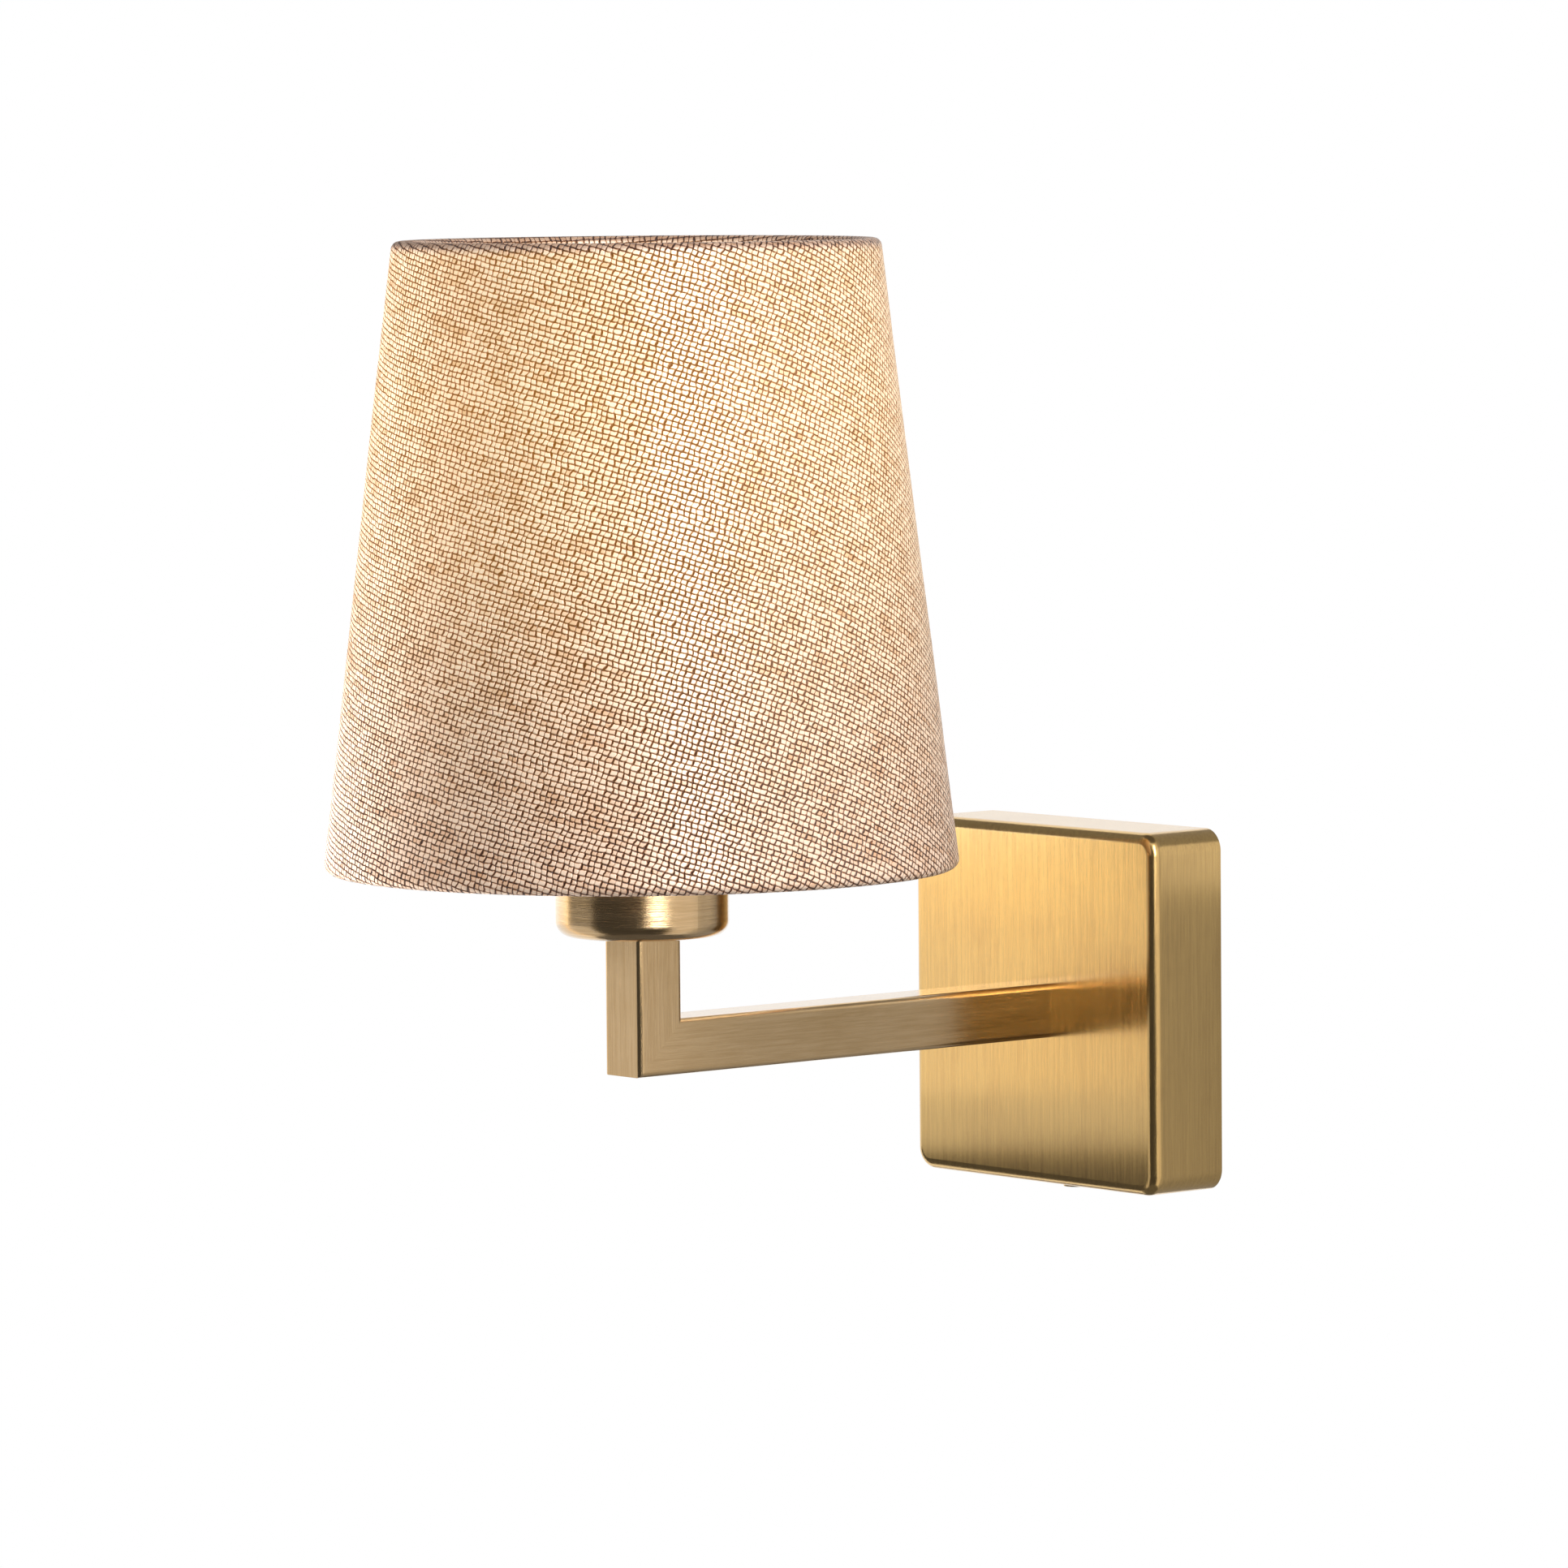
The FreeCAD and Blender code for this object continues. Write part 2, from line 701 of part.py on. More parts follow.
def holder_screw_shell():
    return pipe(screw_shell_radius, screw_shell_radius - screw_shell_wall, at_axis(insert_top),
                at_axis(insert_top + screw_shell_height))


def holder_centre_contact():
    """A sprung brass dish that the lamp's tip presses on."""
    rim_top = insert_top + contact_sheet
    crown_top = insert_top + contact_rise
    crown_under = crown_top - contact_sheet
    outward = contact_sheet / 2
    return turned((0, crown_under), (contact_crown_radius, crown_under), (contact_foot_radius, insert_top),
                  (contact_radius, insert_top), (contact_radius, rim_top),
                  (contact_foot_radius + outward, rim_top), (contact_crown_radius + outward, crown_top),
                  (0, crown_top))


# ---- Wires, held all the way by the light ------------------------------------------------------------

def supply_wire(side, pole_x):
    """One wire from its pole of the connector, through the arm and the upright, to its pole of the holder."""
    x = side * wire_pair_offset
    turn_y = arm_nipple_end + bush_flange_thickness + wire_turn_room
    holder_x = side * holder_pole_offset
    return wire_along([V(pole_x, sleeve_y, terminal_height),
                       V(pole_x, sleeve_y, terminal_bottom - connector_tail),
                       V(x, turn_y, arm_height), V(x, shade_axis, arm_height),
                       V(x, shade_axis, cup_nipple_end + cup_tail),
                       V(holder_x, shade_axis, insert_bottom - holder_tail),
                       V(holder_x, shade_axis, pole_wire_end)],
                      wire_radius, wire_bend_radius)


def live_wire():
    return supply_wire(1, pole_places[2])


def neutral_wire():
    return supply_wire(-1, pole_places[1])


def earth_wire():
    bend_z = terminal_bottom - earth_wire_drop
    return wire_along([V(earth_x, barrel_y, barrel_low + tag_barrel_floor), V(earth_x, barrel_y, bend_z),
                       V(pole_places[0], sleeve_y, bend_z), V(pole_places[0], sleeve_y, terminal_height)],
                      wire_radius, wire_bend_radius)


# ---- Shade -------------------------------------------------------------------------------------------

def on_shade(along, inward):
    """(radius, height) of a point, along the slant from the lower rim and inward from the outer face."""
    return (shade_bottom_radius - along * lean_sin - inward * lean_cos,
            shade_bottom + along * lean_cos - inward * lean_sin)


def rolled_rim(centre_along, sense):
    """Where the linen rolls over a rim's wire and back to the liner. Sense is 1 at the top, -1 below."""
    def point(angle, radius):
        return (centre_along + sense * radius * math.cos(angle), roll_outer + radius * math.sin(angle))
    end_inward = liner_face - roll_outer
    reach = math.hypot(hem_length, end_inward)
    leave = math.pi + math.atan2(-end_inward, hem_length) - math.acos(roll_inner / reach)
    start = -math.pi / 2
    middle = (start + leave) / 2
    end = (centre_along - sense * hem_length, liner_face)
    step = (sense * math.cos(leave) * fabric_thickness, math.sin(leave) * fabric_thickness)
    return {"outer": [point(start, roll_outer), point(middle, roll_outer), point(leave, roll_outer)],
            "inner": [point(start, roll_inner), point(middle, roll_inner), point(leave, roll_inner)],
            "end": end, "end_back": (end[0] + step[0], end[1] + step[1])}


def arm_points(angle):
    """The route of one arm of the frame, from the washer out and down to the lower wire."""
    wire_r, wire_z = on_shade(roll_outer, roll_outer)
    level = cup_top + fitter_thickness / 2
    rim_end = wire_r - rim_wire_radius - fit_gap
    return [at_axis(level, fitter_radius + fit_gap, angle),
            at_axis(level, fitter_radius + fitter_flat, angle),
            at_axis(wire_z, rim_end - rim_flat, angle), at_axis(wire_z, rim_end, angle)]


def shade_fabric():
    top = rolled_rim(slant - roll_outer, 1)
    low = rolled_rim(roll_outer, -1)
    def arc(rim, side, order):
        first, middle, last = (on_shade(*rim[side][index]) for index in order)
        return first, (middle, last)
    start, over_top = arc(top, "outer", (0, 1, 2))
    top_inner_start, under_top = arc(top, "inner", (2, 1, 0))
    low_inner_start, over_low = arc(low, "inner", (0, 1, 2))
    low_outer_start, under_low = arc(low, "outer", (2, 1, 0))
    linen = turned(start, over_top, on_shade(*top["end_back"]), on_shade(*top["end"]),
                   top_inner_start, under_top, low_inner_start, over_low, on_shade(*low["end"]),
                   on_shade(*low["end_back"]), low_outer_start, under_low)
    wire_r, wire_z = on_shade(roll_outer, roll_outer)
    for angle in arm_angles:
        notch_start = arm_points(angle)[-2]
        linen = linen.cut(rod(arm_wire_radius + notch_gap, notch_start, at_axis(wire_z, wire_r, angle)))
    return linen


def shade_liner():
    edge = roll_outer + roll_inner
    outside = fabric_thickness + fit_gap
    inside = outside + liner_thickness
    return turned(on_shade(edge, outside), on_shade(slant - edge, outside), on_shade(slant - edge, inside),
                  on_shade(edge, inside))


def rim_ring(along):
    radius, height = on_shade(along, roll_outer)
    return Part.makeTorus(radius, rim_wire_radius, at_axis(height), Z)


def top_wire_ring():
    return rim_ring(slant - roll_outer)


def bottom_wire_ring():
    return rim_ring(roll_outer)


def spider_arms():
    return Part.makeCompound([wire_along(arm_points(angle), arm_wire_radius, arm_bend_radius)
                              for angle in arm_angles])


def fitter_washer():
    return pipe(fitter_radius, holder_radius + slip_gap, at_axis(cup_top), at_axis(fitter_top))


def shade_ring():
    bore = holder_radius + run_gap
    flange_top = ring_bottom + ring_flange_thickness
    ring_top = ring_bottom + ring_height
    ring = turned((bore, ring_bottom), (ring_flange_radius, ring_bottom), (ring_flange_radius, flange_top),
                  (ring_collar_radius, flange_top), (ring_collar_radius, ring_top), (bore, ring_top))
    for step in range(ring_notches):
        foot = at_axis(ring_bottom, ring_flange_radius, step * 360.0 / ring_notches)
        ring = ring.cut(rod(ring_notch_radius, foot, foot + Z * ring_flange_thickness))
    return ring


# ---- Lamp --------------------------------------------------------------------------------------------

def pear_outline(inset):
    """Where the pear's neck, cone and sphere meet, and a point on the sphere, a glass wall inset or not."""
    neck = neck_radius - inset
    ball = bulb_radius - inset
    shoulder = cap_top + bulb_neck_rise
    drop = bulb_centre - shoulder
    distance = math.hypot(neck, drop)
    tangent = math.atan2(-drop, neck) + math.acos(ball / distance)
    middle = (tangent + math.pi / 2) / 2
    return {"neck": neck, "shoulder": shoulder, "top": bulb_centre + ball,
            "tangent": (ball * math.cos(tangent), bulb_centre + ball * math.sin(tangent)),
            "middle": (ball * math.cos(middle), bulb_centre + ball * math.sin(middle))}


def bulb_glass():
    outer = pear_outline(0.0)
    inner = pear_outline(bulb_glass_wall)
    return turned((outer["neck"], glass_bottom), (outer["neck"], outer["shoulder"]), outer["tangent"],
                  (outer["middle"], (0.0, outer["top"])), (0.0, inner["top"]),
                  (inner["middle"], inner["tangent"]), (inner["neck"], inner["shoulder"]),
                  (inner["neck"], glass_bottom))


def bulb_cap():
    inside = cap_radius - cap_wall
    cone_top = cap_bottom + cap_cone_height
    return turned((cap_cone_radius, cap_bottom), (cap_radius, cone_top), (cap_radius, cap_top),
                  (inside, cap_top), (inside, cone_top + cap_wall / 2),
                  (cap_cone_radius, cap_bottom + cap_wall))


def bulb_insulator():
    """The black glass between the cap and its contact."""
    foot = bulb_tip + tip_height
    top = bulb_tip + insulator_height
    edge = cap_cone_radius - fit_gap
    return turned((0, foot), (tip_radius, foot), (edge, cap_bottom + cap_wall), (edge, top), (0, top))


def bulb_contact():
    halfway = tip_radius / 2
    return turned((0, bulb_tip), ((halfway, bulb_tip + dome_rise(tip_radius, tip_dome_height, halfway)),
                                  (tip_radius, bulb_tip + tip_dome_height)),
                  (tip_radius, bulb_tip + tip_height), (0, bulb_tip + tip_height))


def bulb_stem():
    foot = neck_radius - bulb_glass_wall - fit_gap
    return turned((0, glass_bottom), (foot, glass_bottom), (foot, glass_bottom + stem_flange_height),
                  (stem_radius, glass_bottom + stem_foot_height), (stem_radius, stem_top), (0, stem_top))


def bulb_supports():
    """Two metal discs that carry the filaments, the upper one on a thin post."""
    low = pipe(support_radius, stem_radius + fit_gap, at_axis(stem_top - support_thickness),
               at_axis(stem_top))
    high_start = stem_top + filament_length
    high = rod(support_radius, at_axis(high_start), at_axis(high_start + support_thickness))
    post = rod(filament_radius, at_axis(stem_top), at_axis(high_start))
    return Part.makeCompound([low, high.fuse(post).removeSplitter()])


def bulb_filaments():
    rods = []
    for step in range(filament_count):
        low = at_axis(stem_top, filament_circle, step * 360.0 / filament_count)
        rods.append(rod(filament_radius, low, low + Z * filament_length))
    return Part.makeCompound(rods)


# ---- One file for each sub-part ----------------------------------------------------------------------

sub_parts = [
    wall_plate, cover_hook, wall_bracket, cover_screw, cable_grommet,
    terminal_block, terminal_sleeves, terminal_screws, terminal_fixing_screws,
    earth_screw, earth_ring_tag, earth_wire,
    arm_tube, arm_upright, arm_end_plug, arm_nipple, arm_lock_washer, arm_lock_nut, nipple_bush,
    upright_end_plug, cup_nipple, lamp_cup, cup_washer, cup_nut,
    holder_base, holder_shell, holder_insert, holder_terminals, holder_screw_shell, holder_centre_contact,
    live_wire, neutral_wire,
    shade_fabric, shade_liner, top_wire_ring, bottom_wire_ring, spider_arms, fitter_washer, shade_ring,
    bulb_glass, bulb_cap, bulb_insulator, bulb_contact, bulb_stem, bulb_supports, bulb_filaments,
]

os.makedirs("parts", exist_ok=True)
for sub_part in sub_parts:
    shape = sub_part()
    shape.exportStep(os.path.join("parts", sub_part.__name__ + ".step"))
    print(sub_part.__name__, len(shape.Solids), "valid", shape.isValid(), "volume", round(shape.Volume, 1))
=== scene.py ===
# %% [markdown]
# # A wall light with a linen shade
# The real light is a square brass plate on the wall, a square brass arm, a cup that hides the lampholder,
# and a tapered linen shade on a wire frame. Its construction was measured and drawn as solids, and this
# script dresses those solids: it never moves or resizes them, and takes every place from them.

# %% Load the measured frame
import json
import math
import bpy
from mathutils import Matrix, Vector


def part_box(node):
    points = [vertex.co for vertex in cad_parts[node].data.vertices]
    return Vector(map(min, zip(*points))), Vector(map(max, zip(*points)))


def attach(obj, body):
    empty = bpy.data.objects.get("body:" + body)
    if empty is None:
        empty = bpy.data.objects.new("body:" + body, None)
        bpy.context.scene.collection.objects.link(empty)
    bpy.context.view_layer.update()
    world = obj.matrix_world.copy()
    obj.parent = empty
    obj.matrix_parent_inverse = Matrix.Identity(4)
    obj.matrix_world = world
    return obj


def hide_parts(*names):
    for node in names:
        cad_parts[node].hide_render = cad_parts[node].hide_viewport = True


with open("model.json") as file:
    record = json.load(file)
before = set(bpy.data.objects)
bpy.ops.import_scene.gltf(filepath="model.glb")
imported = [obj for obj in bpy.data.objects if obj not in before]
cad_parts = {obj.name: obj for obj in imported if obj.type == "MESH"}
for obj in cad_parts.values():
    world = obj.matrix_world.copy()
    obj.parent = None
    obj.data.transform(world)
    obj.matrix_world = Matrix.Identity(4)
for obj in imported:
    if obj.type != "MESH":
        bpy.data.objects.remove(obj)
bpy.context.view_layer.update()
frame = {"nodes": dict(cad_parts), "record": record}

from types import SimpleNamespace

import bmesh
import bpy
from mathutils import Matrix, Vector, noise

MM = 0.001
UP = Vector((0, 0, 1))
scene = bpy.context.scene
nodes = frame["nodes"]
slot_of = {part["node"]: part["material_slot"] for part in frame["record"]["subparts"]}
print("the frame has", len(nodes), "nodes in", len(set(slot_of.values())), "material slots")

# %% [markdown]
# ## Camera
# A long lens flattens the light, as the photograph does: a camera 2.4 m away sees 42 cm across. The angles
# were found by matching the plate, the arm and both rims of the shade. The picture leans by half a degree,
# so the camera rolls by that much.

# %% Camera
IMAGE_PX = 1932
FOCAL_PX = 10922
CAMERA_DISTANCE = 2.365
AIM_HEIGHT = 0.100           # of the point that the camera turns about
AIM_RIGHT, AIM_UP = 0.03812, -0.03125
view_azimuth = math.radians(49.878)
view_elevation = math.radians(4.399)
view_roll = math.radians(0.473)

cup_low, cup_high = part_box("lamp_cup")
shade_axis = Vector((0, (cup_low.y + cup_high.y) / 2, 0))

toward_camera = Vector((math.sin(view_azimuth) * math.cos(view_elevation),
                        -math.cos(view_azimuth) * math.cos(view_elevation),
                        math.sin(view_elevation)))
right = (-toward_camera).cross(UP).normalized()
upward = right.cross(-toward_camera)
aim = shade_axis + UP * AIM_HEIGHT + right * AIM_RIGHT + upward * AIM_UP

camera_x = right * math.cos(view_roll) - upward * math.sin(view_roll)
camera_y = right * math.sin(view_roll) + upward * math.cos(view_roll)
placing = Matrix((camera_x, camera_y, toward_camera)).transposed().to_4x4()
placing.translation = aim + toward_camera * CAMERA_DISTANCE

camera = bpy.data.objects.new("camera", bpy.data.cameras.new("camera"))
camera.data.lens = camera.data.sensor_width * FOCAL_PX / IMAGE_PX
camera.matrix_world = placing
scene.collection.objects.link(camera)
scene.camera = camera
print("lens", round(camera.data.lens), "mm, aimed at", [round(value, 3) for value in aim])

# %% [markdown]
# ## Shader maths as Python
# A weave or a brushed grain is arithmetic on a surface's own coordinates. Wiring Math nodes by hand hides
# that arithmetic, so one small class wraps an output and lets Python's operators add the nodes.

# %% Sockets that do arithmetic
class Socket:
    """An output of a node. Operators and methods on it add Math nodes."""

    def __init__(self, finish, output):
        self.finish = finish
        self.output = output

    def math(self, operation, *others):
        inputs = dict(enumerate((self,) + others))
        return self.finish.node("Math", {"operation": operation}, inputs)

    def other(self, name):
        """Another output of the same node."""
        return Socket(self.finish, self.output.node.outputs[name])

    def __add__(self, value):
        return self.math("ADD", value)

    __radd__ = __add__

    def __sub__(self, value):
        return self.math("SUBTRACT", value)

    def __rsub__(self, value):
        return (self * -1) + value

    def __mul__(self, value):
        return self.math("MULTIPLY", value)

    __rmul__ = __mul__

    def __abs__(self):
        return self.math("ABSOLUTE")

    def floor(self):
        return self.math("FLOOR")

    def square(self):
        return self * self

    def part(self):
        """What is left above the whole number."""
        return self.math("FRACT")

    def larger(self, value):
        return self.math("MAXIMUM", value)

    def step(self, start, end):
        """A soft step: 0 at start and 1 at end. It falls where start is above end."""
        first, last = (0.0, 1.0) if start < end else (1.0, 0.0)
        inputs = {"Value": self, "From Min": min(start, end), "From Max": max(start, end),
                  "To Min": first, "To Max": last}
        return self.finish.node("MapRange", {"interpolation_type": "SMOOTHSTEP"}, inputs)


print("a socket can", ", ".join(name for name in vars(Socket) if "__" not in name))

# %% [markdown]
# ## Every other node
# Every other node comes from one method: its settings first, then the values or links of its inputs. The
# class that has it holds one node tree, so a material reads as a short list of steps.

# %% A tree of nodes
class Finish:
    """The node tree of a material, or of the world."""

    def __init__(self, tree):
        self.tree = tree
        tree.nodes.clear()

    def node(self, kind, settings=None, inputs=None, output=0):
        made = self.tree.nodes.new("ShaderNode" + kind)
        for name, value in (settings or {}).items():
            if name == "stops":
                self.set_stops(made.color_ramp.elements, value)
            else:
                setattr(made, name, value)
        for name, value in (inputs or {}).items():
            self.feed(self.find(made, name), value)
        return Socket(self, made.outputs[output] if made.outputs else None)

    def find(self, made, name):
        """An input by its place or name. A Mix node has several of one name, and only one is in use."""
        if isinstance(name, int):
            return made.inputs[name]
        return next(socket for socket in made.inputs if socket.name == name and socket.enabled)

    def feed(self, socket, value):
        if isinstance(value, Socket):
            self.tree.links.new(value.output, socket)
        elif socket.type == "RGBA" and len(value) == 3:
            socket.default_value = (*value, 1.0)
        else:
            socket.default_value = value

    def set_stops(self, elements, stops):
        elements.remove(elements[-1])
        for place, colour in stops:
            element = elements[0] if place == stops[0][0] else elements.new(place)
            element.position = place
            element.color = (*colour, 1.0)

    def mix(self, share, first, second, blend="MIX"):
        """Two colours mixed. A Mix node's colour output is its third."""
        return self.node("Mix", {"data_type": "RGBA", "blend_type": blend},
                         {"Factor": share, "A": first, "B": second}, output=2)

    def stretched(self, scale, place=None):
        """Object coordinates, or another place, scaled along each axis."""
        place = place or self.node("TexCoord", output="Object")
        return self.node("VectorMath", {"operation": "MULTIPLY"}, {0: place, 1: scale})

    def cloud(self, place, scale, detail=2.0, roughness=0.5):
        """A noise from 0 to 1, mostly about a half."""
        inputs = {"Vector": place, "Scale": scale, "Detail": detail, "Roughness": roughness}
        return self.node("TexNoise", {}, inputs)

    def bump(self, height, strength, depth):
        return self.node("Bump", {}, {"Height": height, "Strength": strength, "Distance": depth})

    def surface(self, **inputs):
        """The Principled shader, with underscores in its inputs' names."""
        named = {name.replace("_", " "): value for name, value in inputs.items()}
        shader = self.node("BsdfPrincipled", {}, named)
        self.node("OutputMaterial", {}, {"Surface": shader})


def new_finish(name):
    material = bpy.data.materials.new(name)
    material.use_nodes = True
    return material, Finish(material.node_tree)


print("a tree can", ", ".join(name for name in vars(Finish) if "__" not in name))

# %% [markdown]
# ## Brushed brass
# The plate, the arm and the cup are lacquered antique brass, brushed with a fine abrasive. A brushed metal is
# bright and dark streaks much longer than they are wide, which shift the colour, the roughness and the
# normal a little. The plate and the upright are brushed up and down, the arm along its length, and the cup
# was turned, so its streaks run round it. One function takes the stretch of the streaks, and each piece gets
# its own. The patina is a slow cloud that the polishing left behind.

# %% Brushed brass
BRASS = (0.84, 0.565, 0.25)
# paler brass for the upright, the arm and the cup, which paints in a white haze of reflected light
BRASS_WITH_PAINTED_HAZE = (0.84, 0.585, 0.31)
# warmer brass for the plate, which paints in warm lamplight on it
BRASS_WITH_PAINTED_GLOW = (0.86, 0.57, 0.215)
BRASS_DEEP = (0.62, 0.385, 0.15)
STREAK_FINE = 5200.0         # streaks in a metre, across the grain
STREAK_LONG = 110.0          # and along it
BROAD_STREAK = 0.22          # the broad streaks are this share as many
PATINA_SCALE = 38.0
GRAIN_DEPTH = 0.1 * MM


def brushed_brass(name, along, brass=BRASS, relief=0.35, lacquer=0.7):
    """Along holds the axes that the streaks follow, and relief says how far they scatter a reflection."""
    material, finish = new_finish(name)
    stretch = [STREAK_LONG if axis in along else STREAK_FINE for axis in "XYZ"]
    fine = finish.cloud(finish.stretched(stretch), 1.0, detail=3.0, roughness=0.6)
    broad = finish.cloud(finish.stretched([BROAD_STREAK * size for size in stretch]), 1.0)
    patina = finish.cloud(finish.node("TexCoord", output="Object"), PATINA_SCALE, detail=4.0, roughness=0.6)
    grain = fine * 0.6 + broad * 0.4
    tarnish = grain.step(0.62, 0.36) * 0.5 + patina.step(0.45, 0.75) * 0.25
    finish.surface(Base_Color=finish.mix(tarnish, brass, BRASS_DEEP), Metallic=1.0,
                   Roughness=0.1 + grain * 0.12 + patina * 0.05, Coat_Weight=lacquer, Coat_Roughness=0.1,
                   Normal=finish.bump(grain, relief, GRAIN_DEPTH))
    return material


finishes = {
    "wall_plate": brushed_brass("brass_plate", "Z", BRASS_WITH_PAINTED_GLOW, lacquer=0.4),
    "arm_upright": brushed_brass("brass_upright", "Z", BRASS_WITH_PAINTED_HAZE),
    "arm_tube": brushed_brass("brass_arm", "Y", BRASS_WITH_PAINTED_HAZE),
    "lamp_cup": brushed_brass("brass_cup", "XY", BRASS_WITH_PAINTED_HAZE, relief=0.6, lacquer=1.0),
}
print("brushed brass for", ", ".join(finishes))

# %% [markdown]
# ## Plain metals
# The parts behind the plate and inside the shade are stock parts: zinc-plated steel, tinned copper, turned
# brass. Each is one colour that is never quite even, so two clouds, one fine and one slow, shift its tone
# and its roughness and lift its surface a little.

# %% Plain metals
METAL_SPOTS = 900.0          # the scale of the fine cloud
METAL_PATCHES = 0.08 * METAL_SPOTS
slot_finishes = {}


def metal(name, colour, darker_tone, roughness):
    material, finish = new_finish(name)
    place = finish.node("TexCoord", output="Object")
    spots = finish.cloud(place, METAL_SPOTS, detail=4.0)
    patches = finish.cloud(place, METAL_PATCHES)
    tone = spots.step(0.45, 0.7) * 0.5 + patches.step(0.4, 0.7) * 0.5
    finish.surface(Base_Color=finish.mix(tone, colour, darker_tone), Metallic=1.0,
                   Roughness=roughness + patches * 0.15, Normal=finish.bump(spots, 0.2, 0.03 * MM))
    slot_finishes[name] = material


metal("brass_screw", BRASS, BRASS_DEEP, 0.25)
metal("raw_brass", (0.86, 0.66, 0.32), (0.70, 0.50, 0.22), 0.22)
metal("zinc_steel", (0.66, 0.67, 0.66), (0.50, 0.51, 0.52), 0.3)
metal("tinned_copper", (0.74, 0.72, 0.69), (0.58, 0.55, 0.50), 0.3)
metal("lamp_cap", (0.80, 0.79, 0.76), (0.62, 0.60, 0.57), 0.2)
metal("filament", (0.95, 0.75, 0.30), (0.80, 0.60, 0.25), 0.5)
print("plain metals:", ", ".join(slot_finishes))

# %% [markdown]
# ## Mouldings, ceramic and coated wire
# Moulded plastic, glazed ceramic, rubber and coated wire differ in colour and gloss alone. A glaze or a gloss
# paint is a clear layer over the body, so those pieces have a coat weight.

# %% Mouldings, ceramic and coated wire
MOULD_TEXTURE = 1400.0       # the scale of a mould's fine texture
LINING_TEXTURE = 500.0       # the lining behind the linen is coarser


def moulding(name, colour, shade, roughness=0.45, scale=MOULD_TEXTURE, coat=0.0):
    material, finish = new_finish(name)
    place = finish.node("TexCoord", output="Object")
    texture = finish.cloud(place, scale, detail=3.0)
    patches = finish.cloud(place, scale * 0.05)
    finish.surface(Base_Color=finish.mix(patches.step(0.35, 0.75), colour, shade), Coat_Weight=coat,
                   Roughness=roughness + texture * 0.12, Normal=finish.bump(texture, 0.25, 0.04 * MM))
    slot_finishes[name] = material


moulding("terminal_plastic", (0.80, 0.78, 0.72), (0.70, 0.67, 0.60))
moulding("grommet_rubber", (0.035, 0.035, 0.035), (0.06, 0.058, 0.055), 0.6)
moulding("bush_plastic", (0.80, 0.79, 0.76), (0.70, 0.69, 0.65))
moulding("live_insulation", (0.16, 0.065, 0.03), (0.12, 0.05, 0.02), 0.35)
moulding("neutral_insulation", (0.03, 0.10, 0.42), (0.02, 0.08, 0.34), 0.35)
moulding("holder_plastic", (0.80, 0.77, 0.71), (0.72, 0.69, 0.62), 0.35)
moulding("holder_ceramic", (0.84, 0.83, 0.79), (0.78, 0.76, 0.70), 0.15, coat=0.5)
moulding("cap_insulator", (0.02, 0.02, 0.025), (0.04, 0.04, 0.045), 0.1, coat=0.5)
moulding("stem_glass", (0.78, 0.82, 0.80), (0.70, 0.75, 0.73), 0.1, coat=0.5)
moulding("shade_lining", (0.88, 0.85, 0.79), (0.82, 0.79, 0.72), 0.35, LINING_TEXTURE)
moulding("frame_wire", (0.82, 0.81, 0.78), (0.74, 0.72, 0.68), 0.3, coat=0.3)
print("with mouldings,", len(slot_finishes), "finishes")

# %% [markdown]
# ## Opal glass
# The lamp inside the shade is on, though only its light on the linen is seen, and that light is a painted
# glow in the linen. Its envelope is opal glass, an even milky white. A little emission gives it a faint glow,
# too weak to light anything round it.

# %% Opal glass
OPAL_WHITE = (0.66, 0.63, 0.57)
OPAL_CREAM = (0.60, 0.56, 0.49)
LAMP_COLOUR = (1.0, 0.78, 0.48)
LAMP_GLOW = 0.22


def lit_glass():
    material, finish = new_finish("lit_glass")
    frosting = finish.cloud(finish.node("TexCoord", output="Object"), 2500.0)
    finish.surface(Base_Color=finish.mix(frosting, OPAL_WHITE, OPAL_CREAM), Roughness=0.25 + frosting * 0.1,
                   Emission_Color=LAMP_COLOUR, Emission_Strength=LAMP_GLOW,
                   Normal=finish.bump(frosting, 0.1, 0.02 * MM))
    return material


slot_finishes["opal_glass"] = lit_glass()
print("the glass glows at", LAMP_GLOW)

# %% [markdown]
# ## Earth insulation
# An earth wire is green with a yellow stripe along it, whichever way it bends. On a wire this thin, stripes
# that cross it at a slant read the same, so the stripe is worked out from Object coordinates.

# %% Earth insulation
EARTH_GREEN = (0.05, 0.22, 0.04)
EARTH_YELLOW = (0.75, 0.62, 0.03)
STRIPES_IN_METRE = (420.0, 420.0, 160.0)


def earth_insulation():
    material, finish = new_finish("earth_insulation")
    place = finish.stretched(STRIPES_IN_METRE)
    along = finish.node("SeparateXYZ", {}, {"Vector": place}, output="X")
    stripe = (along + along.other("Z")).part().step(0.45, 0.5)
    finish.surface(Base_Color=finish.mix(stripe, EARTH_GREEN, EARTH_YELLOW), Roughness=0.35)
    return material


slot_finishes["earth_insulation"] = earth_insulation()
print("a stripe every", round(1000 / STRIPES_IN_METRE[0], 1), "mm across")

# %% [markdown]
# ## Dress the solids
# A solid that a new piece doesn't replace keeps its measured shape and gets its finish here. The four brass
# pieces go by name, because each is brushed its own way, and all others go by their material slot.

# %% Dress the solids
dressed = 0
for node, cad_object in nodes.items():
    finish_here = finishes.get(node) or slot_finishes.get(slot_of[node])
    if finish_here:
        cad_object.data.materials.clear()
        cad_object.data.materials.append(finish_here)
        dressed += 1
print("dressed", dressed, "of", len(nodes), "solids")

